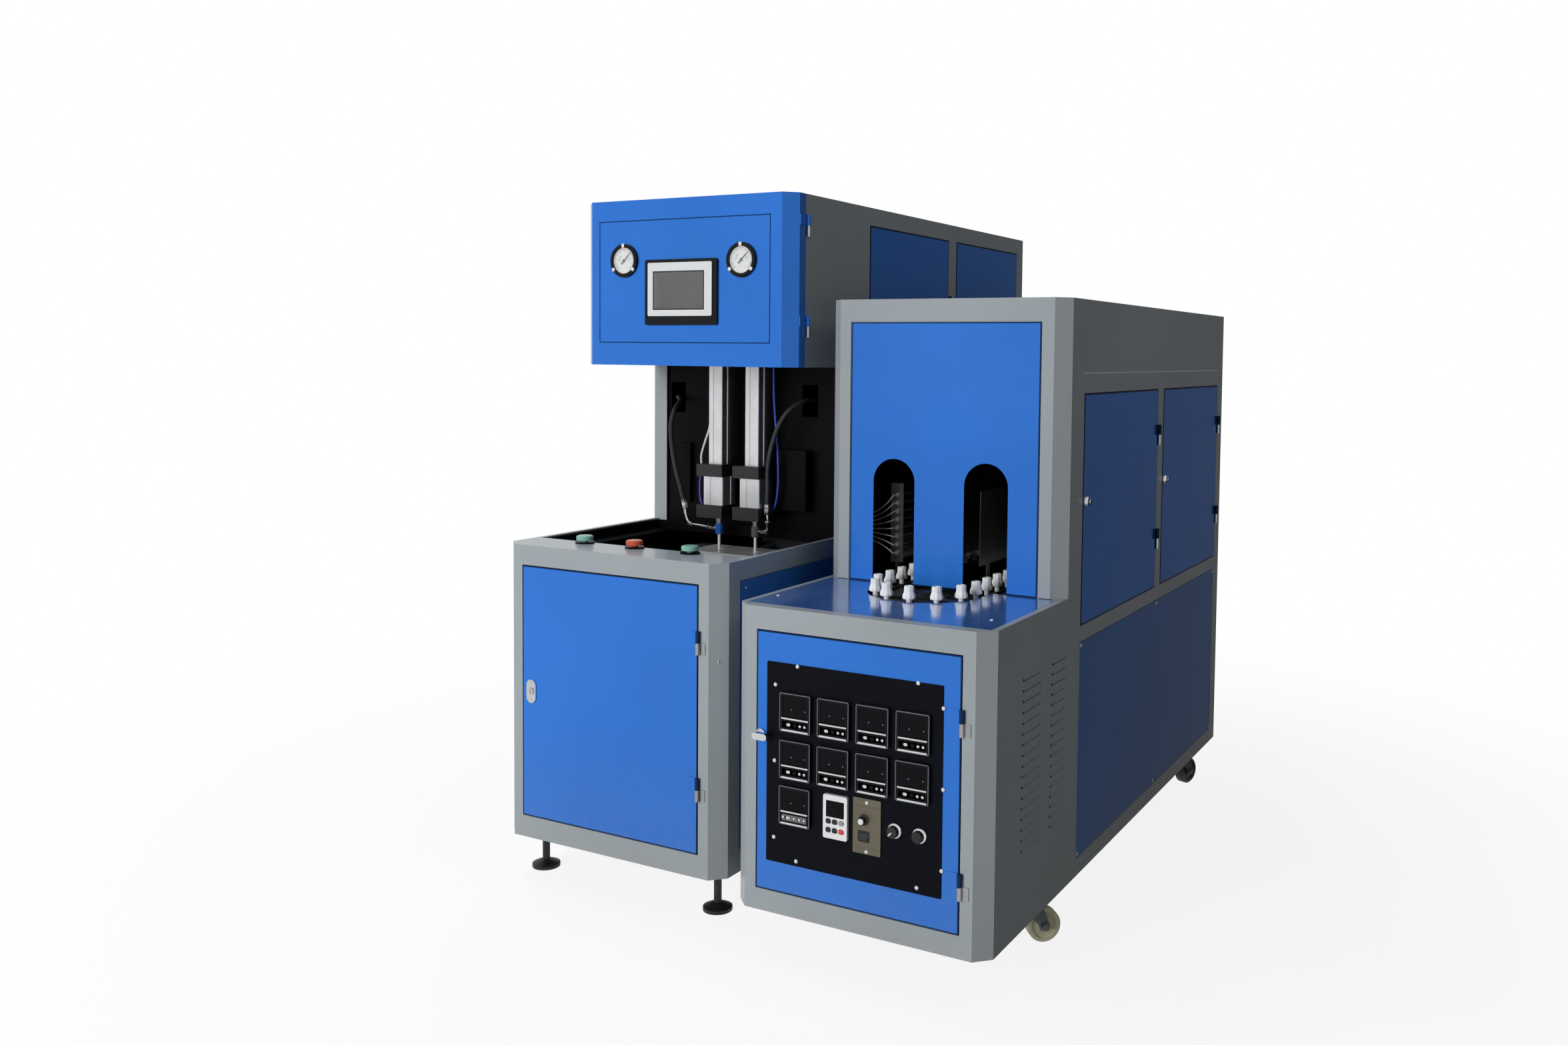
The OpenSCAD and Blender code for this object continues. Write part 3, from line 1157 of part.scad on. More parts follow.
// Mould halves: two bottle cavities each, split on the plane of the stations
cavity_low = mould_top - mould_h + 24;
neck_len = 34;
module bottle()
    rotate_extrude($fn = 64)
        polygon(let (h = mould_top - neck_len)
            [[0, cavity_low + 8], [bottle_r * 0.35, cavity_low + 5], [bottle_r * 0.7, cavity_low],
             [bottle_r - 3, cavity_low + 2], [bottle_r, cavity_low + 8], [bottle_r, cavity_low + 30],
             [bottle_r - 2, cavity_low + 36], [bottle_r, cavity_low + 42], [bottle_r, h - 62],
             [bottle_r - 2, h - 56], [bottle_r, h - 50], [bottle_r - 3, h - 36], [neck_r + 6, h - 12],
             [neck_r, h], [neck_r, mould_top - 6], [neck_r + 3, mould_top - 6], [neck_r + 3, mould_top + 1],
             [0, mould_top + 1]]);
module mould_half(s) {
    y0 = s < 0 ? station_y - mould_d : station_y;
    difference() {
        block([blow_mid - mould_w / 2, y0, mould_top - mould_h],
              [blow_mid + mould_w / 2, y0 + mould_d, mould_top]);
        for (i = [-1, 1]) translate([blow_mid + i * station_pitch / 2, station_y, 0]) bottle();
        for (z = [mould_top - 60, mould_top - mould_h + 60], x = [-1, 1])
            bar_y(blow_mid + x * (mould_w / 2 - 2), z, 4, y0 - 1, y0 + mould_d + 1);
    }
}
module mould_front() machine() color("#c4c8cc") mould_half(-1);
module mould_rear() machine() color("#c4c8cc") mould_half(1);
// Platens slide on the bed and carry the racks that keep both halves in step
platen_w = 364;
platen_top = mould_top - 5;
tie_x = platen_w / 2 - 32;
tie_zs = [bed_z + 46, platen_top - 40];
rack_h = 14;
tooth_gap = 0.15;
front_platen_y = station_y - mould_d - platen_t;
rear_platen_y = station_y + mould_d;
rack_back = 16;
rack_notch_z = gear_z0 + gear_t + 4;
function rack_tooth(y) =
    let (m = gear_module, a = PI * m / 4 - tooth_gap, k = tan(20) * m)
    [[-m * 1.25, y - a - k * 1.25], [m, y - a + k], [m, y + a - k], [-m * 1.25, y + a + k * 1.25]];
// A rack whose teeth face -X, with a tooth space at y = 0
rack_teeth = floor((mould_d + platen_t) / (PI * gear_module)) - 1;
module rack_profile(y0, y1)
    polygon(concat(
        [[-rack_back, y0], [-rack_back, y1], [-gear_module * 1.25, y1]],
        [for (k = [rack_teeth - 1 : -1 : -rack_teeth], q = [3 : -1 : 0])
            let (t = rack_tooth((k + 0.5) * PI * gear_module)) t[q]],
        [[-gear_module * 1.25, y0]]));
module rack(s, y0, y1)
    translate([blow_mid, station_y, gear_z0 + 2])
        rotate([0, 0, s > 0 ? 180 : 0])
            translate([-gear_r, 0, 0])
                linear_extrude(rack_h) rack_profile(y0, y1);
module platen(y0, bore)
    difference() {
        block([blow_mid - platen_w / 2, y0, bed_z + rest_gap],
              [blow_mid + platen_w / 2, y0 + platen_t, platen_top]);
        for (x = [-1, 1], z = tie_zs) bar_y(blow_mid + x * tie_x, z, bore, y0 - 1, y0 + platen_t + 1);
        block([blow_mid - gear_r - rack_back - 6, y0 - 1, bed_z - 1],
              [blow_mid + gear_r + rack_back + 6, y0 + platen_t + 1, rack_notch_z]);
    }
// The rack hangs from its platen by a foot
module rack_foot(s, y0)
    block([blow_mid + (s > 0 ? gear_r + 2 * gear_module : -gear_r - rack_back - 6 - e), y0, gear_z0 + 2],
          [blow_mid + (s > 0 ? gear_r + rack_back + 6 + e : -gear_r - 2 * gear_module), y0 + platen_t,
           rack_notch_z + e]);
module platen_front() machine() color("#3a3d40") {
    platen(front_platen_y, tie_r);
    rack(1, -(mould_d + platen_t), mould_d + platen_t);
    rack_foot(1, front_platen_y);
}
module platen_rear() machine() color("#3a3d40") {
    platen(rear_platen_y, tie_r + run_fit);
    rack(-1, -(mould_d + platen_t), mould_d + platen_t);
    rack_foot(-1, rear_platen_y);
    bar_y(blow_mid, clamp_z, clamp_rod_r, rear_platen_y + platen_t - e, yoke_y + yoke_t + 12);
    bar_y(blow_mid, clamp_z, clamp_bore_r - run_fit, yoke_y + yoke_t + 10, yoke_y + yoke_t + 32);
}
clamp_z = (tie_zs[0] + tie_zs[1]) / 2;
clamp_rod_r = 20;
clamp_bore_r = 62;
yoke_gap = 2 * open_travel + 190;
yoke_y = rear_platen_y + platen_t + yoke_gap;
yoke_t = 36;
clamp_r = 70;
clamp_len = 230;
module tie_bars() machine() color(steel)
    for (x = [-1, 1], z = tie_zs) {
        bar_y(blow_mid + x * tie_x, z, tie_r, front_platen_y, yoke_y + yoke_t);
        for (y = [front_platen_y - 16, yoke_y + yoke_t])
            translate([blow_mid + x * tie_x, y + 16, z])
                rotate([90, 0, 0]) cylinder(r = tie_r + 9, h = 16, $fn = 6);
    }
module clamp_cylinder() machine() color("#54585c")
    difference() {
        union() {
            block([blow_mid - platen_w / 2, yoke_y, bed_z + rest_gap],
                  [blow_mid + platen_w / 2, yoke_y + yoke_t, platen_top]);
            bar_y(blow_mid, clamp_z, clamp_r, yoke_y + yoke_t - e, yoke_y + yoke_t + clamp_len);
            for (y = [yoke_y + yoke_t, yoke_y + yoke_t + clamp_len - 26])
                block([blow_mid - clamp_r - 8, y, clamp_z - clamp_r - 8],
                      [blow_mid + clamp_r + 8, y + 26, clamp_z + clamp_r + 8]);
        }
        for (x = [-1, 1], z = tie_zs) bar_y(blow_mid + x * tie_x, z, tie_r, yoke_y - 1, yoke_y + yoke_t + 1);
        bar_y(blow_mid, clamp_z, clamp_rod_r + run_fit, yoke_y - 1, yoke_y + yoke_t + 1);
        bar_y(blow_mid, clamp_z, clamp_bore_r, yoke_y + yoke_t, yoke_y + yoke_t + clamp_len - 12);
    }
// Involute pinion between the racks
base_r = gear_r * cos(20);
tip_r = gear_r + gear_module;
root_r = gear_r - 1.25 * gear_module;
function inv_angle(r) = let (a = acos(min(1, base_r / r))) tan(a) * 180 / PI - a;
half_tooth = 90 / gear_teeth - tooth_gap / gear_r * 180 / PI;
function flank(r) = half_tooth + inv_angle(gear_r) - inv_angle(max(r, base_r));
flank_rs = [for (k = [0 : 5]) root_r + (tip_r - root_r) * k / 5];
function at_polar(r, a) = [r * cos(a), r * sin(a)];
module pinion_profile()
    polygon([for (t = [0 : gear_teeth - 1])
        let (mid = 360 * t / gear_teeth)
        each concat([for (r = flank_rs) at_polar(r, mid - flank(r))],
                    [for (k = [5 : -1 : 0]) at_polar(flank_rs[k], mid + flank(flank_rs[k]))])]);
module sync_pinion() machine() color("#8a7a4a")
    translate([blow_mid, station_y, gear_z0])
        linear_extrude(gear_t)
            difference() {
                pinion_profile();
                circle(gear_pin_r + run_fit);
            }

heater_cabinet();
heater_hood();
heater_front_panel();
deck_plate();
side_panels();
chain_guide();
preform_chain();
preform_seats();
chain_drive();
lamps();
lamp_wires();
reflectors();
control_door();
control_panel();
temp_controllers();
keypad();
speed_unit();
door_handle();
speed_knob();
rocker_switch();
knob_left();
knob_right();
heater_door_front();
heater_door_rear();
castor_fork_fl();
castor_fork_fr();
castor_fork_rl();
castor_fork_rr();
castor_wheel_fl();
castor_wheel_fr();
castor_wheel_rl();
castor_wheel_rr();
blow_cabinet();
blow_tower();
levelling_feet();
hinge_pins();
cylinder_barrels();
cylinder_blocks();
head_door();
touch_panel();
pressure_gauges();
gauge_needle_left();
gauge_needle_right();
blow_front_door();
front_door_lock();
tower_door_front();
tower_door_rear();
green_button_left();
red_button();
green_button_right();
seal_nozzles();
blow_hoses();
stretch_rods();
mould_front();
mould_rear();
platen_front();
platen_rear();
tie_bars();
clamp_cylinder();
sync_pinion();
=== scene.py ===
import math

import bmesh
import bpy
import numpy as np
from mathutils import Matrix, Vector


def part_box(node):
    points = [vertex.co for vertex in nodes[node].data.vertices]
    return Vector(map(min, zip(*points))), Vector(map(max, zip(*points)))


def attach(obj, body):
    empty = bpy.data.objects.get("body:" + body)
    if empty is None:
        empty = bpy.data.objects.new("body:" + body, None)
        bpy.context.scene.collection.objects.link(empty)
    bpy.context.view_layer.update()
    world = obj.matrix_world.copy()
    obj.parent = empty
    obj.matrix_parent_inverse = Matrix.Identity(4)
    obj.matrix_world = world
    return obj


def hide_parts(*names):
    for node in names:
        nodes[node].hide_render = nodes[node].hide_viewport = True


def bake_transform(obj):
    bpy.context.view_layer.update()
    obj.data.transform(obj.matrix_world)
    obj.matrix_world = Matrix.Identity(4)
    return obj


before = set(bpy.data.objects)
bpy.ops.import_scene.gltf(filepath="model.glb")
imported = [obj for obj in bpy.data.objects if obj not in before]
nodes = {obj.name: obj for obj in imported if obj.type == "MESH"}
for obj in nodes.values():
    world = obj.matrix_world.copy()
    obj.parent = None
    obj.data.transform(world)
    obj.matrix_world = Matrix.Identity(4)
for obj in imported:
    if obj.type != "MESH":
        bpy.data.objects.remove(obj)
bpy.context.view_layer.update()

# The viewpoint. The picture was taken from the right front, at the height of the oven's
# seam, with the lens pointing 3 degrees down. Its values come from the machine's own
# parallel edges. Places are measured from the oven's left front corner on the floor.
oven_low, oven_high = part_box("heater_cabinet")
corner = np.array((oven_low.x, oven_low.y, 0.0))
picture_w, picture_h = 2352, 1568
focal_px = 1968.55
axis_px = Vector((1297.55, 638.91))
yaw, pitch, roll = math.radians(28.564), math.radians(-3.080), math.radians(0.615)
eye = Vector(corner) + Vector((1.5526, -2.2807, 1.2712))
ahead = Vector((-math.sin(yaw) * math.cos(pitch), math.cos(yaw) * math.cos(pitch), math.sin(pitch)))
level = Vector((math.cos(yaw), math.sin(yaw), 0))
over = level.cross(ahead)
right = math.cos(roll) * level + math.sin(roll) * over
up = -math.sin(roll) * level + math.cos(roll) * over
lens = bpy.data.cameras.new("viewpoint")
lens.sensor_width = 36.0
lens.lens = focal_px / picture_w * lens.sensor_width
lens.shift_x = (picture_w / 2 - axis_px.x) / picture_w
lens.shift_y = (axis_px.y - picture_h / 2) / picture_w
lens.clip_start, lens.clip_end = 0.05, 60.0
viewpoint = bpy.data.objects.new("viewpoint", lens)
viewpoint.matrix_world = Matrix.Translation(eye) @ Matrix((right, up, -ahead)).transposed().to_4x4()
bpy.context.scene.collection.objects.link(viewpoint)
bpy.context.scene.camera = viewpoint
bpy.context.scene.view_settings.view_transform = "Standard"


# The light: a broad soft lamp at the front left, one above at the left, a weaker one behind
# and a faint one high at the right, so the right sides are dark, as in the picture.
def soft_lamp(name, place, width, watts):
    """A square area lamp that faces the middle of the machine. Reflections show the white
    surround in its place, so that it leaves no hot spot in the gloss."""
    data = bpy.data.lights.new(name, "AREA")
    data.shape = "SQUARE"
    data.size = width
    data.energy = watts
    lamp = bpy.data.objects.new(name, data)
    lamp.location = place
    lamp.rotation_mode = "QUATERNION"
    lamp.rotation_quaternion = (Vector((0.0, 0.0, 0.8)) - Vector(place)).to_track_quat("-Z", "Y")
    lamp.visible_glossy = False
    bpy.context.scene.collection.objects.link(lamp)


soft_lamp("key_lamp", (-1.6, -7.4, 2.4), 3.6, 430)
soft_lamp("top_lamp", (-2.4, -0.4, 5.2), 1.6, 95)
soft_lamp("side_lamp", (3.4, -0.4, 4.0), 2.0, 17)
soft_lamp("back_lamp", (-4.2, 5.2, 3.4), 3.4, 170)


def dark_card(name, corners):
    """A dull grey card beside the machine, which only reflections see, so that the right sides
    don't mirror the white surround."""
    mesh = bpy.data.meshes.new(name)
    mesh.from_pydata(corners, [], [(0, 1, 2, 3)])
    dull = bpy.data.materials.new(name)
    dull.use_nodes = True
    faces = dull.node_tree.nodes["Principled BSDF"].inputs
    faces["Base Color"].default_value = (0.012, 0.012, 0.013, 1.0)
    faces["Specular IOR Level"].default_value = 0.0
    faces["Emission Color"].default_value = (1.0, 1.0, 1.0, 1.0)
    faces["Emission Strength"].default_value = 0.14
    mesh.materials.append(dull)
    card = bpy.data.objects.new(name, mesh)
    card.visible_camera = card.visible_diffuse = False
    card.visible_shadow = card.visible_transmission = False
    bpy.context.scene.collection.objects.link(card)


dark_card("card_upright", [(3.2, 0.0, 0.0), (0.7, 6.0, 0.0), (0.7, 6.0, 3.6), (3.2, 0.0, 3.6)])
dark_card("card_flat",
          [(0.68, -0.8, 0.004), (3.2, -0.8, 0.004), (3.2, 6.0, 0.004), (0.68, 6.0, 0.004)])


# The floor is one pale sheet that keeps the machine's shadow. The surround is white to the
# eye and in reflections, and gives a weaker even light. Node work starts here: a Number is
# one socket's value, and the operators on it add Math nodes.
class Number:
    """A value in a material, with Python's operators and a few named steps. a | b is the
    larger of the two."""

    def __init__(self, finish, socket):
        self.finish, self.socket = finish, socket

    def math(self, operation, *values):
        made = self.finish.node("ShaderNodeMath", {"operation": operation}, dict(enumerate(values)))
        return Number(self.finish, made.outputs[0])

    def __add__(self, other):
        return self.math("ADD", self, other)

    __radd__ = __add__

    def __sub__(self, other):
        return self.math("SUBTRACT", self, other)

    def __rsub__(self, other):
        return self.math("SUBTRACT", other, self)

    def __mul__(self, other):
        return self.math("MULTIPLY", self, other)

    __rmul__ = __mul__

    def __or__(self, other):
        return self.math("MAXIMUM", self, other)

    __ror__ = __or__

    def __abs__(self):
        return self.math("ABSOLUTE", self)

    def above(self, edge, soft=0.0003):
        """0 below the edge, 1 above it, with a smooth step in between."""
        made = self.finish.node(
            "ShaderNodeMapRange",
            {"interpolation_type": "SMOOTHSTEP"},
            {"Value": self, "From Min": edge - soft, "From Max": edge + soft},
        )
        return Number(self.finish, made.outputs["Result"])

    def between(self, low, high, soft=0.0003):
        """1 from low to high, 0 outside."""
        return self.above(low, soft) * (1 - self.above(high, soft))


class Finish:
    """One node material on the object's own coordinates, which are metres in the frame."""

    def __init__(self, name, tree=None):
        if tree is None:
            self.material = bpy.data.materials.new(name)
            self.material.use_nodes = True
            tree = self.material.node_tree
            self.shader = tree.nodes["Principled BSDF"]
        self.tree = tree
        self.place = self.node("ShaderNodeTexCoord").outputs["Object"]
        parts = self.node("ShaderNodeSeparateXYZ", {}, {0: self.place})
        self.x, self.y, self.z = (Number(self, parts.outputs[k]) for k in range(3))

    def node(self, kind, settings={}, sockets={}):
        """Adds a node: its settings first, then each socket gets its value or its link."""
        made = self.tree.nodes.new(kind)
        for key, value in settings.items():
            setattr(made, key, value)
        for key, value in sockets.items():
            self.feed(made.inputs[key], value)
        return made

    def feed(self, socket, value):
        """Links a socket to a Number or another socket, or sets it to a plain value."""
        value = value.socket if isinstance(value, Number) else value
        if isinstance(value, bpy.types.NodeSocket):
            self.tree.links.new(value, socket)
        elif socket.type == "RGBA":
            socket.default_value = (*value, 1.0)
        else:
            socket.default_value = value

    def noise(self, scale, detail=2.0, stretch=(1.0, 1.0, 1.0), shift=0.0):
        """Fractal noise about 0.5. A stretch above 1 makes it finer along that axis."""
        moved = {"Vector": self.place, "Scale": stretch, "Location": (shift, shift, shift)}
        place = self.node("ShaderNodeMapping", {}, moved).outputs[0]
        cloud = {"Vector": place, "Scale": scale, "Detail": detail}
        return Number(self, self.node("ShaderNodeTexNoise", {}, cloud).outputs[0])

    def mix(self, first, second, amount):
        """The colour first where the amount is 0, and second where it is 1."""
        colours = {0: amount, 6: first, 7: second}
        return self.node("ShaderNodeMix", {"data_type": "RGBA"}, colours).outputs[2]

    def bump(self, height, depth):
        """The normal that a height from 0 to 1 gives over a depth in metres."""
        return self.node("ShaderNodeBump", {}, {"Height": height, "Distance": depth}).outputs[0]

    def done(self, **sockets):
        """Feeds the shader's sockets, with underscores for the spaces in their names."""
        for key, value in sockets.items():
            self.feed(self.shader.inputs[key.replace("_", " ")], value)
        return self.material


world = bpy.data.worlds.new("surround")
bpy.context.scene.world = world
world.use_nodes = True
world.node_tree.nodes.clear()
pure_white = (1.0, 1.0, 1.0)
sky = Finish("surround", world.node_tree)
dim = sky.node("ShaderNodeBackground", {}, {"Color": pure_white, "Strength": 0.06})
white = sky.node("ShaderNodeBackground", {}, {"Color": pure_white, "Strength": 1.0})
ray = sky.node("ShaderNodeLightPath").outputs
seen = Number(sky, ray["Is Camera Ray"]) + Number(sky, ray["Is Glossy Ray"])
seen = seen + Number(sky, ray["Is Transmission Ray"])
seen = seen.math("MINIMUM", seen, 1.0)
both = sky.node("ShaderNodeMixShader", {}, {0: seen, 1: dim.outputs[0], 2: white.outputs[0]})
surface = sky.node("ShaderNodeOutputWorld").inputs["Surface"]
sky.feed(surface, both.outputs[0])

reach = 30.0
floor_mesh = bpy.data.meshes.new("floor")
floor_corners = [(-reach, -reach, 0), (reach, -reach, 0), (reach, reach, 0), (-reach, reach, 0)]
floor_mesh.from_pydata(floor_corners, [], [(0, 1, 2, 3)])
floor = bpy.data.objects.new("floor", floor_mesh)
bpy.context.scene.collection.objects.link(floor)
paper = Finish("floor_paper")
ray = paper.node("ShaderNodeLightPath").outputs
in_bounces, to_the_eye = (0.40, 0.40, 0.40), (0.92, 0.92, 0.92)
paper.done(Base_Color=paper.mix(in_bounces, to_the_eye, ray["Is Camera Ray"]), Roughness=0.9)
glow = paper.node("ShaderNodeEmission", {}, {"Color": pure_white, "Strength": 1.0})
distance = paper.x.math("SQRT", paper.x * paper.x + paper.y * paper.y)
whiteness = 0.87 + distance.above(2.0, 1.1) * 0.13
seen = (Number(paper, ray["Is Camera Ray"]) + Number(paper, ray["Is Glossy Ray"])) * whiteness
both = paper.node("ShaderNodeMixShader", {},
                  {0: seen, 1: paper.shader.outputs[0], 2: glow.outputs[0]})
paper.feed(paper.tree.nodes["Material Output"].inputs["Surface"], both.outputs[0])
floor_mesh.materials.append(paper.material)


# The oven's grey body: 3 mm sheet steel, folded, welded and sprayed with grey enamel. Its
# inside gets a painted black shade. The loose hood is a lid of the same sheet.
enamel_grey = (0.335, 0.370, 0.392)
# Near black: the colour of black parts, and a painted shade on inner walls, gaps and recesses.
black_paint_and_shade = (0.0040, 0.0040, 0.0048)
dust = (0.26, 0.25, 0.23)
# Pale steel grey for a painted highlight along an edge.
highlight_grey = (0.72, 0.72, 0.73)
sheet, bevel = 0.0032, 0.032
oven_wide, housing_from = 0.590, 0.390


def enamel(name, colour, shine=0.30, black_room=None, tint=0.05, highlight_edge=None):
    """Sprayed enamel. The colour drifts slowly, fine orange peel bumps it, and dust dulls it
    near the floor. Where black_room gives 1 it turns black: mostly a painted shade on a wall's
    inside, in a gap or in a recess. Where the edge mask gives 1 it gets a painted highlight."""
    made = Finish(name)
    drift = made.noise(1.9, 3.0)
    speck = made.noise(42.0, 4.0, shift=3.0)
    lighter = tuple(c * (1 + tint) for c in colour)
    darker = tuple(c * (1 - tint) for c in colour)
    paint = made.mix(darker, lighter, drift.above(0.5, 0.2))
    low_dust = (1 - made.z.above(0.26, 0.2)) * speck * 0.2
    paint = made.mix(paint, dust, low_dust)
    lacquer = 0.3
    # Black where black_room gives 1, mostly a painted shade.
    if black_room:
        room = black_room(made)
        paint = made.mix(paint, black_paint_and_shade, room)
        lacquer = (1 - room) * lacquer
    # A painted highlight along an edge, where the edge mask gives 1.
    if highlight_edge:
        paint = made.mix(paint, highlight_grey, highlight_edge(made) * (speck * 0.6 + 0.4))
    peel = made.noise(420.0, 1.0, shift=7.0)
    return made.done(Base_Color=paint, Roughness=shine + speck * 0.1 + low_dust * 0.5,
                     Specular_IOR_Level=0.05, Coat_Weight=lacquer, Coat_Roughness=0.1,
                     Normal=made.bump(peel, 0.00012))


def dress(material, *names):
    """Gives CAD nodes their material."""
    for name in names:
        slots = nodes[name].data.materials
        slots.clear()
        slots.append(material)


def behind_bevels(made, low, width):
    """1 where a place is more than the sheet's thickness behind the bevels of a cabinet's two
    front corners."""
    back = bevel + sheet * math.sqrt(2)
    left = (made.x + made.y).above(low[0] + low[1] + back)
    return left * (made.y - made.x).above(low[1] - low[0] - width + back)


def oven_inside(made):
    """1 on the inner faces of the oven's cabinet and housing."""
    across = made.x.between(oven_low.x + sheet, oven_low.x + oven_wide - sheet)
    deep = made.y.between(oven_low.y + sheet, oven_high.y - sheet)
    deep = deep * behind_bevels(made, oven_low, oven_wide)
    deck_low, arch_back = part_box("deck_plate")[0].z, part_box("heater_front_panel")[1].y
    cabinet = made.z.between(oven_low.z + 0.008, deck_low - 0.0005)
    housing = made.z.between(deck_low, oven_high.z - sheet) * made.y.above(arch_back + 0.0006)
    housing = housing * behind_bevels(made, (oven_low.x, corner[1] + housing_from), oven_wide)
    room = cabinet + housing
    return across * deep * room.math("MINIMUM", room, 1.0)


def hood_edge(made):
    """1 on the hood's lowest 3.4 mm, which get a painted highlight along the edge."""
    return 1 - made.z.above(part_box("heater_hood")[0].z + 0.0034)


# The inner faces of the cabinet and housing get a painted black shade.
dress(enamel("oven_grey", enamel_grey, black_room=oven_inside), "heater_cabinet")
# The hood's lower edge gets a painted highlight.
dress(enamel("hood_grey", enamel_grey, highlight_edge=hood_edge), "heater_hood")


# Castors: zinc forks that swivel on a ball race, darkened to a painted shade. The front wheels
# are cream nylon that picks up dirt, and the rear ones are near black.
grime = (0.10, 0.09, 0.08)


def bright_metal(name, colour, shine, grain=(1.0, 1.0, 1.0), scale=260.0, metal=1.0):
    """Worked metal. Noise drawn out along the way that it was ground, drawn or rolled gives
    the lines, and a slow cloud dulls it in places."""
    made = Finish(name)
    lines = made.noise(scale, 3.0, stretch=grain)
    cloud = made.noise(14.0, 3.0, shift=4.0)
    tone = made.mix(tuple(c * 0.84 for c in colour), colour, cloud.above(0.5, 0.25))
    return made.done(Base_Color=tone, Metallic=metal, Roughness=shine + lines * 0.16,
                     Normal=made.bump(lines, 0.00004))


def moulded(name, colour, shine, grain=500.0, depth=0.00006, dirt=0.0, coat=0.0, gloss=0.4):
    """Moulded plastic: fine grain, a slow shade drift, and dirt where the cloud is high."""
    made = Finish(name)
    texture = made.noise(grain, 1.0)
    cloud = made.noise(55.0, 4.0, shift=2.0)
    tone = made.mix(tuple(c * 0.92 for c in colour), colour, cloud.above(0.48, 0.2))
    if dirt:
        tone = made.mix(tone, grime, cloud.above(0.54, 0.16) * dirt)
    return made.done(Base_Color=tone, Roughness=shine + cloud * 0.14, Coat_Weight=coat,
                     Specular_IOR_Level=gloss, Normal=made.bump(texture, depth))


# The forks' zinc is darkened to a painted shade.
shaded_fork_zinc = bright_metal("shaded_fork_zinc", (0.13, 0.135, 0.14), 0.34, scale=60.0)
dress(shaded_fork_zinc, *["castor_fork_" + place for place in ("fl", "fr", "rl", "rr")])
dress(moulded("wheel_nylon", (0.94, 0.91, 0.66), 0.42, dirt=0.25),
      "castor_wheel_fl", "castor_wheel_fr")
dress(moulded("wheel_rear_dark", (0.045, 0.045, 0.044), 0.50, dirt=0.15),
      "castor_wheel_rl", "castor_wheel_rr")

# The oven's blue side doors and both cabinets' screwed panels: the same sheet, in a glossier
# blue. The panels get a darker copy of it as a painted shade, and a painted black shade on their
# inner faces, and white dome screws hold the oven's. A painted shadow runs round each door's
# outline, and a painted shade covers its hinge halves.
# The panels' blue is a darker copy of the doors' blue: a painted shade.
enamel_blue, panel_blue = (0.026, 0.172, 0.630), (0.026, 0.138, 0.440)
blue_shine, blue_tint = 0.26, 0.06
front_gap, side_gap, arch_gap = 0.0024, 0.0026, 0.0030
# Strengths of the painted shadow round a panel and of the painted shade on hinge halves.
gap_shadow, knuckle_shade = 0.85, 0.9


def frame_x(across):
    """The frame's X for a place that is measured in mm from the oven's corner."""
    return corner[0] + across / 1000


def frame_y(deep):
    """The same for Y."""
    return corner[1] + deep / 1000


def panel_inside(made):
    """1 on the faces of the panels that look into a cabinet, which get a painted black shade."""
    oven = made.x.between(frame_x(1.8), frame_x(588.2))
    oven = oven * made.y.between(frame_y(3), frame_y(1769.2))
    table = made.x.between(frame_x(-714.2), frame_x(-82.8))
    table = table * made.y.between(frame_y(72), frame_y(1795.2))
    return oven | table


FRONT, RIGHT, LEFT, BACK, TOP = (0, -1, 0), (1, 0, 0), (-1, 0, 0), (0, 1, 0), (0, 0, 1)


def rim(name, width, facing=FRONT):
    """For a panel's enamel: 1 within the width of the outline of its outer face, where a painted
    shadow stands for the gap to the frame. The face looks to the front or to the right."""
    mesh, out, smallest = nodes[name].data, Vector(facing), 0.004
    outer = [part for part in mesh.polygons if part.normal.dot(out) > 0.99 and part.area > smallest]
    face = np.array([mesh.vertices[k].co for part in outer for k in part.vertices])
    low, high = face.min(0) + width, face.max(0) - width
    side = 1 if facing[0] else 0

    def dark(made):
        across = (made.x, made.y)[side].between(low[side], high[side], 0.0005)
        return (1 - across * made.z.between(low[2], high[2], 0.0005)) * gap_shadow

    return dark


def door_shade(name):
    """1 at a side door's outline and on the hinge halves that stand out from its face, which get a
    painted shade.
    """
    outline = rim(name, side_gap, RIGHT)

    def dark(made):
        knuckles = made.x.above(frame_x(591.5)) * knuckle_shade
        return knuckles | outline(made)

    return dark


def dress_blue(finish_name, shade_place, name):
    """Gives a door or panel the glossy blue, with a painted shade where the mask gives 1."""
    dress(enamel(finish_name, enamel_blue, blue_shine, shade_place, blue_tint), name)


# The panels get the darker blue, and a painted black shade on their inner faces.
dress(enamel("panel_blue", panel_blue, blue_shine, panel_inside, blue_tint), "side_panels")
# Each side door gets a painted shadow round its outline and a painted shade on its hinge halves.
for name in ("heater_door_front", "heater_door_rear"):
    dress_blue("blue_" + name, door_shade(name), name)


def ring_faces(rows, columns, copies):
    """Cells of a grid whose columns wrap, and its two caps, for each copy in turn."""
    row, column = np.arange(rows - 1)[:, None], np.arange(columns)[None, :]
    after = (column + 1) % columns
    cells = np.stack([row * columns + column, row * columns + after,
                      (row + 1) * columns + after, (row + 1) * columns + column], -1).reshape(-1, 4)
    caps = np.stack([np.arange(columns)[::-1], (rows - 1) * columns + np.arange(columns)])
    step = (np.arange(copies) * rows * columns)[:, None, None]
    return (cells + step).reshape(-1, 4).tolist() + (caps + step).reshape(-1, columns).tolist()


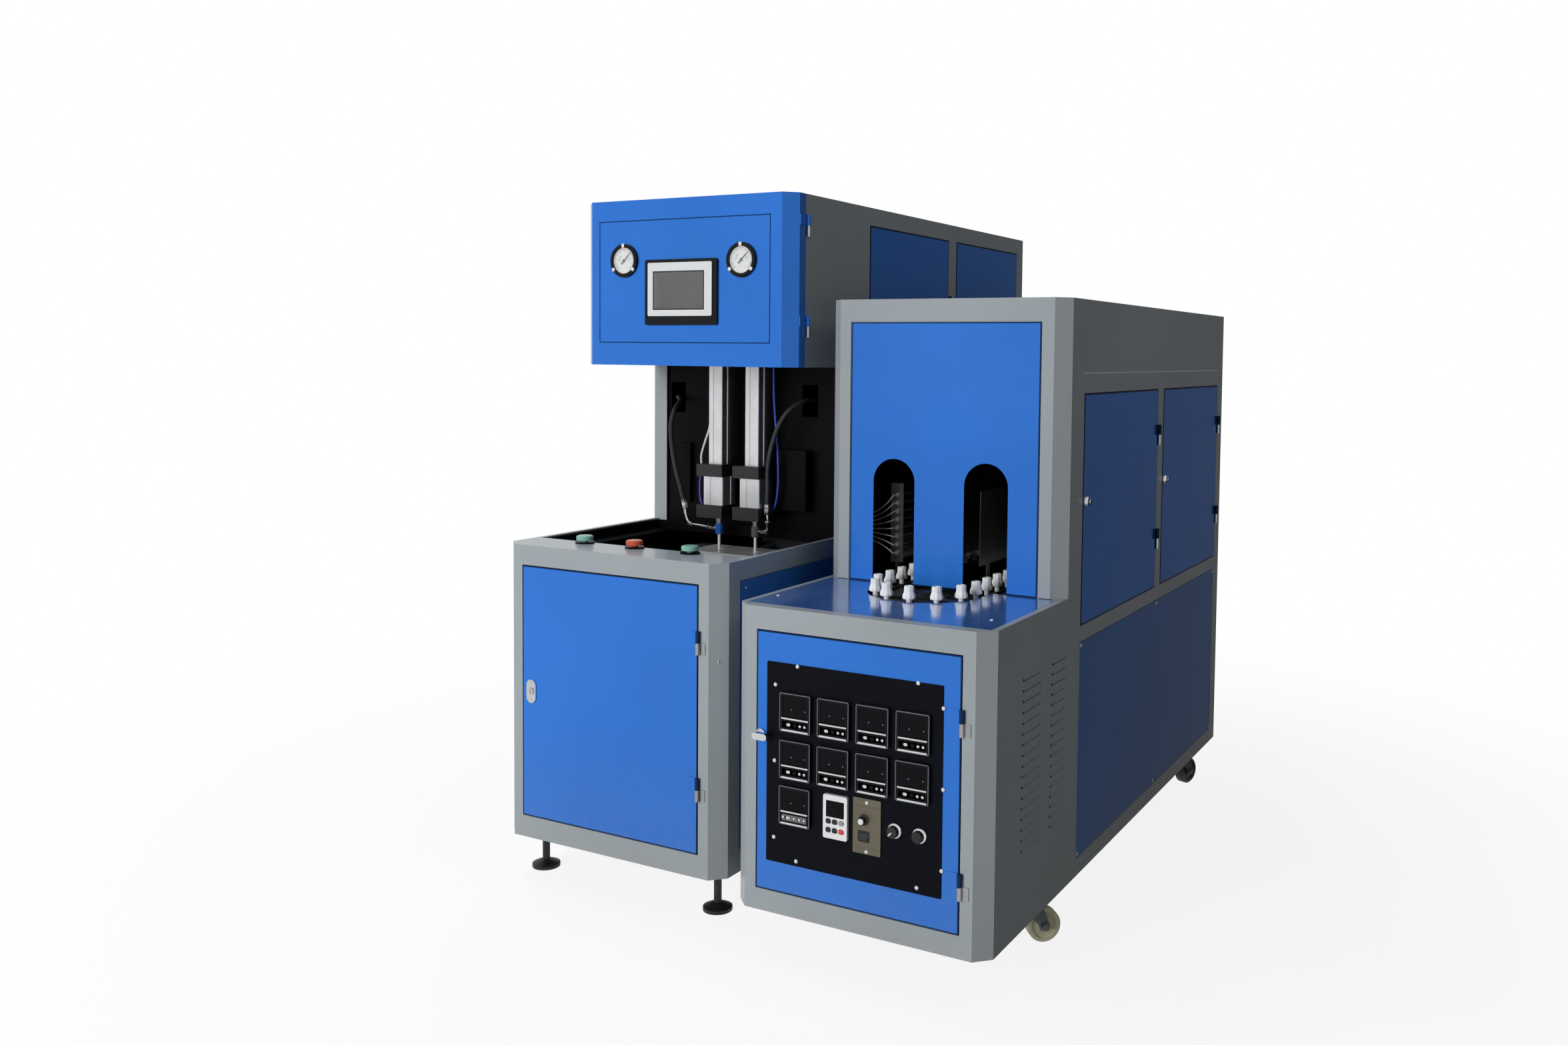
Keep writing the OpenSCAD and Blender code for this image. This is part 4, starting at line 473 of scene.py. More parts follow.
def piece(name, body, slot, material, *grids):
    """One object from grids of points, each copies x rows x columns x 3: every copy is a
    closed skin whose columns wrap and whose end rings are capped. Faces point outwards, and
    only edges sharper than 35 degrees stay sharp."""
    points, faces, start = [], [], 0
    for grid in grids:
        grid = np.asarray(grid, float)
        grid = grid if grid.ndim == 4 else grid[None]
        points.append(grid.reshape(-1, 3))
        copies, rows, columns = grid.shape[:3]
        faces += [[k + start for k in face] for face in ring_faces(rows, columns, copies)]
        start += len(points[-1])
    mesh = bpy.data.meshes.new(name)
    mesh.from_pydata(np.concatenate(points).tolist(), [], faces)
    shell = bmesh.new()
    shell.from_mesh(mesh)
    bmesh.ops.remove_doubles(shell, verts=shell.verts, dist=1e-6)
    bmesh.ops.recalc_face_normals(shell, faces=shell.faces)
    shell.to_mesh(mesh)
    shell.free()
    mesh.shade_smooth()
    mesh.set_sharp_from_angle(angle=math.radians(35.0))
    mesh.materials.append(material)
    made = bpy.data.objects.new(name, mesh)
    bpy.context.scene.collection.objects.link(made)
    if body:
        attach(made, body)
    return made


def turned(profile, axis, sides=28):
    """A lathe's work at the origin: each (radius, rise) pair in mm is a ring of that radius,
    at that rise along the axis."""
    profile = np.asarray(profile, float) / 1000
    axis, askew = np.asarray(axis, float), (0.36, 0.48, 0.80)
    first = np.cross(axis, askew)
    first /= np.linalg.norm(first)
    turn = np.linspace(0, 2 * np.pi, sides, endpoint=False)[:, None]
    ring = np.cos(turn) * first + np.sin(turn) * np.cross(axis, first)
    return profile[:, None, :1] * ring + profile[:, None, 1:] * axis


def set_at(grid, places):
    """Copies of a grid, one at each place, which is in mm from the oven's corner."""
    places = corner + np.asarray(places, float).reshape(-1, 3) / 1000
    return grid + places[:, None, None, :]


dome = [(0, 2.4), (1.6, 2.3), (3.0, 1.8), (3.9, 1.0), (4.3, 0.2), (4.3, -0.4), (0, -0.4)]
white_nylon = moulded("screw_white", (0.80, 0.80, 0.79), 0.3, dirt=0.12)
panel_right = [(589.5, y, z) for y in (512, 1107, 1703) for z in (149, 626)]
panel_left = [(0.5, y, z) for y in (512, 1107, 1703) for z in (149, 626, 680, 1183)]
panel_back = [(x, 1770.5, z) for x in (68, 522) for z in (169, 650, 1166)]
piece("oven_panel_screws", "machine", "seat_plastic", white_nylon,
      set_at(turned(dome, RIGHT), panel_right), set_at(turned(dome, LEFT), panel_left),
      set_at(turned(dome, BACK), panel_back))

# Round cam locks, one in each side door: a cap turned in brass and chromed, with a stepped
# nose, is pressed over the lock's rose.
lock_cap = [(0, 13.4), (3.0, 13.4), (5.7, 13.2), (6.3, 12.4), (6.3, 8.4), (9.2, 8.3), (11.2, 5.3),
            (11.3, 0.2), (0, 0.2)]
lock_chrome = bright_metal("lock_chrome", (0.56, 0.56, 0.57), 0.14)
for name, y in (("heater_door_front", 521), ("heater_door_rear", 1150)):
    piece("lock_" + name, name, "bright_chrome", lock_chrome,
          set_at(turned(lock_cap, RIGHT), [(590.5, y, 950)]))

# Hinges: chromed lift-off barrels. Their lower halves are welded to the frames and carry the
# pins that the doors drop on.
dress(bright_metal("hinge_chrome", (0.38, 0.38, 0.39), 0.20), "hinge_pins")

# The deck: a blue sheet in a deep gloss, rubbed in fine scratches by trays of preforms, and
# held by dome screws near its front corners. The tall panel behind it has the two arches.
# The arch panel gets a painted shadow round its outline.
dress_blue("arch_panel_blue", rim("heater_front_panel", arch_gap), "heater_front_panel")
deck = Finish("deck_blue_gloss")
rub = deck.noise(60.0, 5.0, stretch=(1.0, 7.0, 1.0))
wear = deck.noise(9.0, 4.0, shift=2.0)
deck_paint = deck.mix((0.050, 0.150, 0.440), (0.070, 0.195, 0.560), wear.above(0.5, 0.2))
deck.done(Base_Color=deck_paint, Roughness=0.14 + rub.above(0.62, 0.12) * 0.16, Coat_Weight=1.0,
          Coat_Roughness=0.11, Specular_IOR_Level=0.8, Normal=deck.bump(rub, 0.00006))
dress(deck.material, "deck_plate")
deck_screw_chrome = bright_metal("deck_screw_chrome", (0.62, 0.62, 0.63), 0.16)
piece("deck_screws", "machine", "bright_chrome", deck_screw_chrome,
      set_at(turned(dome, TOP), [(32, 124, 746), (537, 121, 746)]))


# The preform chain: blacked links round two blacked wheels, between steel guide rails, with
# the geared motor under the rear wheel. Oil and dust make it mottled.
def black_steel(name, colour=(0.020, 0.020, 0.022), shine=0.38):
    """Blacked and oiled steel, mottled, and rubbed brighter where the noise peaks."""
    made = Finish(name)
    mottle = made.noise(35.0, 4.0)
    rubbed = made.noise(140.0, 3.0, shift=5.0)
    skin = made.mix(colour, tuple(c * 2.6 + 0.012 for c in colour), rubbed.above(0.64, 0.1) * 0.6)
    return made.done(Base_Color=skin, Metallic=0.5, Roughness=shine + mottle * 0.22,
                     Normal=made.bump(rubbed, 0.00008))


dress(black_steel("chain_blacking"), "preform_chain", "chain_guide", "chain_drive")

# The preform seats: fifty white acetal spindles. Each has a pin through the chain, a deep
# skirt with eight flats cut in it, and a dished top that the preform's neck sits on.
pitch, wheel_r, run_seats, pockets = 60.0, 114.59, 19, 12
chain_x, wheel_y, first_seat = 290.0, 332.0, 7 / 30
flats, flat_deep, seat_sides = 8, 0.11, 32
seat_number = np.arange(pockets + 2 * run_seats) + first_seat
half = pockets / 2
bend = np.pi * seat_number / half
rear_bend = np.pi * (seat_number - half - run_seats) / half
legs = [seat_number < half, seat_number < half + run_seats, seat_number < 2 * half + run_seats]
seat_x = np.select(legs, [chain_x - wheel_r * np.cos(bend), chain_x + wheel_r,
                          chain_x + wheel_r * np.cos(rear_bend)], chain_x - wheel_r)
seat_y = np.select(legs, [wheel_y - wheel_r * np.sin(bend), wheel_y + (seat_number - half) * pitch,
                          wheel_y + run_seats * pitch + wheel_r * np.sin(rear_bend)],
                   wheel_y + run_seats * pitch - (seat_number - 2 * half - run_seats) * pitch)
seat_profile = [(0, 726), (3.6, 726), (4.0, 727), (4.0, 738.4), (6.0, 738.6), (6.0, 750.6),
                (13.2, 750.8), (14.2, 752), (14.2, 756.5), (12.2, 763), (11.2, 765), (10.9, 768),
                (10.9, 776.2), (10.0, 778.2), (6.6, 778.8), (5.2, 777.8), (4.5, 775), (0, 775)]
seat_grid = turned(seat_profile, TOP, seat_sides)
around = np.arange(seat_sides) * 2 * np.pi / seat_sides
flat_cut = 1 - flat_deep * (0.5 + 0.5 * np.cos(flats * around)) ** 2
cut_rows = np.array([7 <= row <= 12 for row in range(len(seat_profile))])
seat_grid[cut_rows, :, :2] *= flat_cut[None, :, None]
seat_acetal = moulded("seat_acetal", (0.90, 0.91, 0.91), 0.32, dirt=0.12)
seats = piece("seat_spindles", "machine", "seat_plastic", seat_acetal,
              set_at(seat_grid, np.stack([seat_x, seat_y, 0 * seat_x], -1)))
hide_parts("preform_seats")

# The lamps: quartz tubes with a coiled filament and white ceramic ends, in two banks of
# eight. Crimped eyelets join them to leads in fibreglass sleeve, which fan out from the
# terminal strips. Rolled aluminium sheets behind and between the banks throw the heat.
lamp_low, lamp_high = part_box("lamps")
lamp = Finish("lamp_quartz")
ceramic_long = 0.0185
ends = 1 - lamp.y.between(lamp_low.y + ceramic_long, lamp_high.y - ceramic_long)
turns = lamp.y * 900.0
coil = turns.math("SINE", turns) * 0.5 + 0.5
frost = lamp.noise(30.0, 3.0)
glass = lamp.mix((0.16, 0.15, 0.14), (0.34, 0.33, 0.31), coil * frost)
ceramic = lamp.mix((0.62, 0.60, 0.54), (0.74, 0.72, 0.67), frost)
lamp.done(Base_Color=lamp.mix(glass, ceramic, ends), Roughness=0.18 + ends * 0.4,
          Coat_Weight=(1 - ends) * 0.8)
dress(lamp.material, "lamps")
sleeve = Finish("wire_sleeve")
weave = sleeve.noise(900.0, 2.0)
soot = sleeve.noise(25.0, 3.0, shift=1.0)
sleeve.done(Base_Color=sleeve.mix((0.66, 0.63, 0.56), (0.92, 0.90, 0.85), soot), Roughness=0.36,
            Metallic=0.8, Normal=sleeve.bump(weave, 0.0003))
dress(sleeve.material, "lamp_wires")
lamp_places = np.array([(x, 501.0, 799.0 + 20 * k) for x in (125.4, 454.6) for k in range(8)])
crimp = [(0, -7), (2.1, -7), (2.3, -6), (2.3, -1.5), (3.6, -1.2), (3.6, 0.6), (2.6, 1.2),
         (2.6, 3.4), (0, 3.4)]
crimp_tin = bright_metal("crimp_tin", (0.86, 0.85, 0.82), 0.22, metal=0.4)
piece("lamp_crimps", "machine", "bright_chrome", crimp_tin,
      set_at(turned(crimp, BACK, 12), lamp_places))
strip_screw = [(0, 2.2), (2.4, 2.0), (3.2, 1.2), (3.2, 0), (0, 0)]
strip_brass = bright_metal("strip_brass", (0.52, 0.34, 0.14), 0.3)
piece("strip_screws", "machine", "bright_chrome", strip_brass,
      set_at(turned(strip_screw, RIGHT, 12), [(66, 484, 826 + 10 * k) for k in range(8)]),
      set_at(turned(strip_screw, LEFT, 12), [(524, 484, 826 + 10 * k) for k in range(8)]))
rolled = bright_metal("reflector_sheet", (0.40, 0.41, 0.42), 0.34, (1.0, 0.15, 6.0), 60.0)
dress(rolled, "reflectors")

# The control door: a folded blue tray, open behind its black panel, which ten white dome
# screws hold. The panel is aluminium sheet with a fine matt black coating.
# The control door gets a painted shadow round its outline.
dress_blue("control_door_blue", rim("control_door", front_gap), "control_door")
dress(moulded("panel_coating", (0.0035, 0.004, 0.007), 0.36, 700.0, gloss=0.06), "control_panel")
hole_places = [(160.6, 630.4), (437.2, 632.1), (107.6, 586.5), (492.6, 589.6), (106.5, 426.3),
               (494, 429.7), (106, 264), (492.8, 268.3), (160.8, 222.3), (439.3, 223.9)]
piece("panel_dome_screws", "control_door_set", "seat_plastic", white_nylon,
      set_at(turned(dome, FRONT, 20), [(x, -2.8, z) for x, z in hole_places]))


# Nine temperature controllers in two rows of four and one below, clipped into the panel. Each
# is a moulded black case with a grey lip, a smoked window, white rules and four small keys.
def slab(width, height, radius, steps, along=RIGHT, turns=5):
    """A rounded rectangle carried forwards at the origin, in mm. Each (inset, rise) pair is a
    ring: the outline drawn in by the inset and brought forward by the rise."""
    steps = np.asarray(steps, float)
    inset, rise = steps[:, :1], steps[:, 1:]
    quarter = np.linspace(0, np.pi / 2, turns)
    turn = np.concatenate([quarter + k * np.pi / 2 for k in range(4)])
    side_x = np.repeat([1, -1, -1, 1], turns)
    side_y = np.repeat([1, 1, -1, -1], turns)
    tightest = 0.02
    bend = np.maximum(radius - inset, tightest)
    x = side_x * (width / 2 - inset - bend) + bend * np.cos(turn)
    y = side_y * (height / 2 - inset - bend) + bend * np.sin(turn)
    out, along = np.asarray(FRONT, float), np.asarray(along, float)
    grid = x[..., None] * along + y[..., None] * np.cross(out, along) + rise[..., None] * out
    return grid / 1000


dress(moulded("case_black", (0.007, 0.007, 0.009), 0.42, 900.0, gloss=0.08), "temp_controllers")
two_rows = [(160 + 90 * k, -12, z) for z in (534, 435) for k in range(4)]
cases = np.array(two_rows + [(160, -12, 339)], float)
lip = [(0, -1.5), (0, 0.1), (0.5, 0.7), (1.3, 0.7), (1.8, 0.1), (1.8, -1.5)]
lip_grey = moulded("lip_grey", (0.16, 0.17, 0.18), 0.3, 900.0)
piece("case_lips", "control_door_set", "meter_plastic", lip_grey,
      set_at(slab(73.4, 80.4, 3.2, lip), cases))
window = [(0, -2.6), (0, -1.2), (0.8, -0.6), (6, -0.4)]
smoked = moulded("window_smoked", (0.006, 0.006, 0.008), 0.12, 300.0, 0.00001, gloss=0.05)
piece("case_windows", "control_door_set", "meter_plastic", smoked,
      set_at(slab(56, 41, 2.0, window), cases + (0, 0, 12)))
dot = [(0, 0.6), (1.3, 0.5), (1.6, 0.1), (1.6, -0.3), (0, -0.3)]
dot_places = (cases[:, None] + np.array([(-7, -0.3, 7), (25, -0.3, 7)])).reshape(-1, 3)
dot_grey = moulded("lamp_dot", (0.17, 0.17, 0.18), 0.4)
piece("case_lamps", "control_door_set", "meter_plastic", dot_grey,
      set_at(turned(dot, FRONT, 10), dot_places))
rule_white = moulded("rule_white", (0.70, 0.71, 0.71), 0.35, 900.0)
rule = [(0, -0.4), (0, 0.25), (0.3, 0.4)]
piece("case_rules", "control_door_set", "keypad_plastic", rule_white,
      set_at(slab(64, 3.0, 0.6, rule), cases + (0, 0, -12.6)),
      set_at(slab(64, 3.4, 0.6, rule), cases + (0, 0, -37.0)))
key_field_grey = moulded("key_field_grey", (0.15, 0.155, 0.16), 0.4, 900.0)
piece("case_key_field", "control_door_set", "meter_plastic", key_field_grey,
      set_at(slab(64, 17, 0.6, [(0, -0.4), (0, 0.05), (0.3, 0.2)]), cases[8] + (0, 1, -24.6)))
key_cap = [(0, -0.3), (0, 0.5), (0.4, 0.9), (1.4, 1.0)]
key_white = moulded("key_white", (0.66, 0.67, 0.67), 0.35, 900.0)
piece("case_keys", "control_door_set", "keypad_plastic", key_white,
      set_at(slab(8.6, 6.4, 2.4, key_cap), cases + (-15, 1.0, -25)),
      *[set_at(slab(5.6, 5.6, 2.2, key_cap), cases + (x, 1.0, -25)) for x in (12.5, 23.5)],
      set_at(slab(5.6, 5.6, 2.2, key_cap), [cases[8] + (0, 1.0, -25), cases[8] + (-27, 1.0, -25)]))

# The keypad: a white moulded key box, clipped into the panel, with a dark window, five rubber
# keys and a red one.
dress(moulded("keypad_white", (0.80, 0.81, 0.81), 0.32, 700.0), "keypad")
pad = np.array([257, -11, 334.5])
piece("keypad_window", "control_door_set", "meter_plastic", smoked,
      set_at(slab(42, 34, 2.0, [(0, -0.4), (0, 0.3), (0.6, 0.6)]), pad + (0, 0, 16.5)))
pad_key = [(0, -0.3), (0, 1.9), (0.6, 2.5), (2.4, 2.6)]
pad_keys = {"black": ((0.016, 0.016, 0.018), [(-15, -9), (0, -9), (-15, -27), (0, -27)]),
            "grey": ((0.30, 0.31, 0.32), [(15, -9)]), "red": ((0.62, 0.07, 0.09), [(15, -27)])}
for shade, (colour, spots) in pad_keys.items():
    key_rubber = moulded("key_rubber_" + shade, colour, 0.5, 900.0)
    piece("keypad_keys_" + shade, "control_door_set", "keypad_plastic", key_rubber,
          set_at(slab(11.4, 10.4, 3.2, pad_key), [pad + (x, 0, z) for x, z in spots]))

# The motor speed unit: a bronze-lacquered plate with two rolled ridges and two screws, a black
# knob with a white spot, and a rocker in a dark frame.
bronze = bright_metal("speed_lacquer", (0.155, 0.140, 0.098), 0.36, (0.3, 1.0, 8.0), 90.0,
                      metal=0.55)
dress(bronze, "speed_unit")
unit = np.array([327.7, -6, 327])
ridge = [(0, -0.4), (0, 0.5), (0.7, 1.1)]
piece("speed_ridges", "control_door_set", "bronze_plastic", bronze,
      set_at(slab(62.4, 3.0, 1.2, ridge), [unit + (0, 0, 40), unit + (0, 0, -44.5)]))
small_dome = [(r * 0.9, rise) for r, rise in dome]
piece("speed_screws", "control_door_set", "seat_plastic", white_nylon,
      set_at(turned(small_dome, FRONT, 20), [unit + (0, 0, 48.5), unit + (0, 0, -51.5)]))
frame_ring = [(3.1, -1.0), (3.1, 0.4), (2.5, 0.9), (0.5, 0.9), (0, 0.4), (0, -0.4)]
rocker_frame_black = moulded("rocker_frame_black", (0.010, 0.010, 0.011), 0.35)
piece("rocker_frame", "control_door_set", "panel_black", rocker_frame_black,
      set_at(slab(27, 23, 2.5, frame_ring), [(321, -6, 306)]))
dress(moulded("rocker_black", (0.020, 0.021, 0.023), 0.28), "rocker_switch")
dress(moulded("speed_knob_black", (0.012, 0.012, 0.013), 0.30), "speed_knob")
spot = [(0, 1.5), (4.2, 1.4), (6.0, 0.9), (6.4, -0.3), (0, -0.3)]
piece("speed_knob_spot", "speed_knob", "seat_plastic", white_nylon,
      set_at(turned(spot, FRONT), [(321, -19.3, 340)]))

# Two rotary knobs: moulded black grips in broad polished rings, on the shafts of the switches
# behind the panel. The left one has a white pointer.
dress(moulded("knob_black", (0.012, 0.012, 0.014), 0.30), "knob_left", "knob_right")
ring = [(10.4, 3.0), (11.2, 5.4), (12.2, 6.2), (14.2, 5.4), (15.8, 3.2), (16.3, 1.6),
        (16.3, 0.0), (0, 0.0)]
ring_chrome = bright_metal("ring_chrome", (0.62, 0.62, 0.63), 0.14)
for name, x in (("knob_left", 390), ("knob_right", 445)):
    piece("ring_" + name, name, "bright_chrome", ring_chrome,
          set_at(turned(ring, FRONT, 40), [(x, -3.3, 330)]))
slant = math.sqrt(0.5)
pointer = slab(2.8, 10.6, 1.2, [(0, -0.3), (0, 0.9), (0.5, 1.3)], along=(-slant, 0, slant))
piece("knob_pointer", "knob_left", "seat_plastic", white_nylon,
      set_at(pointer, [(386.5, -19.3, 326.5)]))

# The control door's cam handle: cast in zinc, polished and chromed, on a shaft through the
# door that turns a tongue behind the frame.
dress(bright_metal("handle_chrome", (0.68, 0.68, 0.69), 0.12), "door_handle")

# The blowing cabinet: a welded grey body. Its inside, the pit for the moulds in its table and
# the pit's rear rim get a painted black shade. Its blue front door has a keyed lock in an oval
# steel plate, and a painted shadow round its outline. The moulded push buttons stand in black
# collars, and plated screws hold the side and back panels.
blow_wide, blow_floor, table_top = 0.635, 0.1035, 0.810
blow_left, blow_right, blow_back = frame_x(-712.8), frame_x(-84.2), frame_y(1793.8)
bay_left, bay_right = frame_x(-674.2), frame_x(-122.8)


def table_inside(made):
    """1 on the cabinet's inner faces and on the pit's rear rim under the bay's wall, which get a
    painted black shade, and on the black collars above its table."""
    across = made.x.between(blow_left, blow_right)
    deep = made.y.between(frame_y(72.2), blow_back)
    room = across * deep * made.z.between(blow_floor, table_top - 0.0040)
    room = room * behind_bevels(made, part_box("blow_cabinet")[0], blow_wide)
    collars = made.z.above(table_top + 0.0003)
    rear_rim = made.x.between(bay_left, bay_right) * made.y.above(frame_y(656.4))
    rear_rim = rear_rim * made.z.above(table_top - 0.0045)
    return room | collars | rear_rim


# The cabinet's inside, its pit and the pit's rear rim get a painted black shade.
dress(enamel("table_grey", enamel_grey, black_room=table_inside), "blow_cabinet")
dress(black_steel("foot_black"), "levelling_feet")
# The front door gets a painted shadow round its outline.
dress_blue("front_door_blue", rim("blow_front_door", front_gap), "blow_front_door")
green_ones, red_ones = ("green_button_left", "green_button_right"), ("red_button",)
for name, colour, buttons in (("button_green", (0.215, 0.475, 0.385), green_ones),
                              ("button_red", (0.56, 0.085, 0.030), red_ones)):
    dress(moulded(name, colour, 0.34, 800.0, dirt=0.15, coat=0.2), *buttons)
escutcheon = [(0, -2.6), (0, 0.3), (0.8, 0.9), (2.2, 1.1), (4.0, 0.5)]
lock_steel = bright_metal("lock_steel", (0.62, 0.62, 0.64), 0.18)
piece("lock_plate", "blow_front_door", "bright_chrome", lock_steel,
      set_at(slab(28.6, 56.6, 14, escutcheon, turns=9), [(-627, 65, 459)]))
dress(lock_steel, "front_door_lock")
small_screw = [(0, 1.6), (1.8, 1.5), (3.0, 0.8), (3.3, -0.3), (0, -0.3)]
panel_zinc = bright_metal("screw_zinc", (0.60, 0.60, 0.61), 0.22)
low_rows = [(y, z) for y in (169, 945, 1720) for z in (172, 745)]
tower_rows = [(y, z) for y in (756, 1240, 1725) for z in (880, 1588)]
back_places = [(x, 1795.4, z) for x in (-637, -160) for z in (172, 745, 880, 1588)]
piece("cabinet_screws", "machine", "bright_chrome", panel_zinc,
      set_at(turned(small_screw, RIGHT, 16), [(-81.6, y, z) for y, z in low_rows]),
      set_at(turned(small_screw, LEFT, 16), [(-714.4, y, z) for y, z in low_rows + tower_rows]),
      set_at(turned(small_screw, BACK, 16), back_places),
      set_at(turned(small_screw, (slant, -slant, 0), 16), [(-97, 85, 592)]))


# The tower and head: the same grey sheet. The bay's back wall between the posts, the head's
# underside and the insides of the head and tower get a painted black shade. Round locks hold
# the tower's two blue doors, which get a painted shadow round their outline.
head_under, roof = 1.240, 1.654


def bay_wall(made):
    """1 where a painted black shade goes: on the bay's back wall with its valve box, under the
    head, and inside the head and tower.
    """
    across = made.x.between(bay_left, bay_right)
    wall = across * made.y.between(frame_y(628), frame_y(668.5))
    wall = wall * made.z.between(table_top - 0.0010, head_under - 0.0015)
    inner = made.x.between(blow_left, blow_right) * made.y.between(frame_y(418.2), blow_back)
    head = inner * made.z.between(head_under + sheet, roof - sheet)
    tower = inner * made.y.above(frame_y(666)) * made.z.between(table_top + sheet, roof - sheet)
    under = across * made.y.between(frame_y(420), frame_y(667))
    under = under * made.z.between(head_under - 0.0015, head_under + 0.0015)
    return wall | head | tower | under


# The bay's back wall, the head's underside and the insides of head and tower: painted shade.
dress(enamel("tower_grey", enamel_grey, black_room=bay_wall), "blow_tower")
# Each tower door gets a painted shadow round its outline.
for name, y in (("tower_door_front", 756), ("tower_door_rear", 1293)):
    dress_blue("blue_" + name, rim(name, side_gap, RIGHT), name)
    piece("lock_" + name, name, "bright_chrome", lock_chrome,
          set_at(turned(lock_cap, RIGHT), [(-80, y, 1234)]))

# The head door: a folded blue tray over the head's whole front, with a line pressed round its
# instruments, whose floor gets a painted shade.
head_low, head_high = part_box("head_door")
line_shade = 0.75


def pressed_line(made):
    """1 on the floor of the pressed line, which is 0.8 mm behind the door's face at 357 mm, where
    a painted shade goes.
    """
    inner = made.x.between(head_low.x + 0.04, head_high.x - 0.04)
    inner = inner * made.z.between(head_low.z + 0.03, head_high.z - 0.03)
    return made.y.between(frame_y(357.3), frame_y(358.3), 0.0002) * inner * line_shade


# The pressed line's floor gets a painted shade.
dress_blue("head_door_blue", pressed_line, "head_door")


# Two pressure gauges: black bezels round white enamelled dials under glass, with a white clip
# at the top and one at each side below, and black needles.
def from_mark(angle, spacing):
    """How far an angle is from the nearest mark of a scale, as a share of the spacing."""
    share = angle * (1 / spacing)
    return abs(share.math("FRACT", share + 0.5) - 0.5)


dress(moulded("gauge_case", (0.012, 0.012, 0.013), 0.35), "pressure_gauges")
dress(moulded("needle_black", (0.008, 0.008, 0.009), 0.4),
      "gauge_needle_left", "gauge_needle_right")
bezel = [(32.4, 3.1), (32.4, 6.8), (33.6, 8.7), (36, 9.2), (40, 9.0), (42.0, 7.0), (42.3, 4.0),
         (42.3, 0.1), (0, 0.1)]
dial_plate = [(0, 3.35), (32.6, 3.35), (32.6, 2.9), (0, 2.9)]
glass_disc = [(0, 7.4), (20, 7.2), (32.5, 6.6), (32.5, 6.2), (0, 6.2)]
side_clip = [(0, 10.2), (3.4, 10.1), (4.6, 9.4), (4.9, 7.0), (0, 7.0)]
top_clip = [(0, 6.0), (0, 9.8), (0.6, 10.2)]
clip_ring, clip_turns = 37.6, [math.radians(a) for a in (216, 324)]
small_mark, big_mark, scale_end = 5.4, 27, 137
bezel_black = moulded("bezel_black", (0.007, 0.007, 0.008), 0.20, coat=0.1, gloss=0.1)
glass = Finish("gauge_glass")
glass_haze = glass.noise(8.0, 2.0)
glass.done(Base_Color=(0.9, 0.92, 0.92), Roughness=0.03, Alpha=0.10 + glass_haze * 0.06)
for name, x, z in (("gauge_left", -579, 1503), ("gauge_right", -224, 1497)):
    dial = Finish("dial_" + name)
    right_of, above_of = (dial.x - frame_x(x)) * 1000, (dial.z - z / 1000) * 1000
    squares = right_of * right_of + above_of * above_of
    radius = squares.math("SQRT", squares)
    angle = above_of.math("ARCTAN2", right_of, above_of) * (180 / math.pi)
    scale_arc = 1 - abs(angle).above(scale_end, 1.0)
    fine = (1 - from_mark(angle, small_mark).above(0.10, 0.03)) * radius.between(25.5, 29.0, 0.3)
    bold = (1 - from_mark(angle, big_mark).above(0.032, 0.01)) * radius.between(22.0, 29.0, 0.3)
    arc = radius.between(28.8, 29.6, 0.2)
    pale = radius.between(12.5, 19.5, 0.6) * abs(angle).between(38, 96, 2.0)
    ink = (fine | bold | arc) * scale_arc
    enamelled = dial.mix((0.80, 0.81, 0.80), (0.42, 0.47, 0.50), pale * 0.6)
    fleck = dial.noise(300.0, 2.0)
    dial.done(Base_Color=dial.mix(enamelled, (0.03, 0.03, 0.035), ink),
              Roughness=0.35 + fleck * 0.1, Normal=dial.bump(fleck, 0.00002))
    at = [(x, 357, z)]
    piece("bezel_" + name, "head_door_set", "panel_black", bezel_black,
          set_at(turned(bezel, FRONT, 56), at))
    piece("plate_" + name, "head_door_set", "gauge_enamel", dial.material,
          set_at(turned(dial_plate, FRONT, 56), at))
    piece("glass_" + name, "head_door_set", "gauge_enamel", glass.material,
          set_at(turned(glass_disc, FRONT, 56), at))
    sides = [(x + clip_ring * math.cos(a), 357, z + clip_ring * math.sin(a)) for a in clip_turns]
    piece("clips_" + name, "head_door_set", "seat_plastic", white_nylon,
          set_at(turned(side_clip, FRONT, 20), sides),
          set_at(slab(8, 9.6, 1.0, top_clip), [(x, 357, z + 37.4)]))

# The touch panel: a moulded black case, set in the door, with a silver face that is wider at
# the top, and a grey screen under clear plastic.
touch = Finish("touch_case")
touch_grain = touch.noise(800.0, 1.0)
face = touch.y.above(frame_y(346)) * (1 - touch.y.above(frame_y(349.4)))
case_shade = touch.mix((0.009, 0.009, 0.010), (0.70, 0.72, 0.73), face)
touch.done(Base_Color=case_shade, Roughness=0.30 + touch_grain * 0.1, Metallic=face * 0.15,
           Specular_IOR_Level=0.12, Normal=touch.bump(touch_grain, 0.00005))
dress(touch.material, "touch_panel")
screen = Finish("touch_screen")
screen_haze = screen.noise(12.0, 3.0)
lit = screen.x.between(frame_x(-481), frame_x(-331)) * screen.z.between(1.381, 1.471)
screen_grey = screen.mix((0.100, 0.098, 0.105), (0.135, 0.132, 0.140), screen_haze)
screen.done(Base_Color=screen.mix((0.012, 0.012, 0.013), screen_grey, lit), Coat_Weight=0.3,
            Roughness=0.12 + screen_haze * 0.06, Specular_IOR_Level=0.2)
screen_steps = [(0, -0.6), (0, 0.5), (0.6, 0.9), (30, 0.9)]
piece("touch_glass", "head_door_set", "meter_plastic", screen.material,
      set_at(slab(156.4, 96.4, 1.2, screen_steps), [(-406, 348.5, 1426)]))

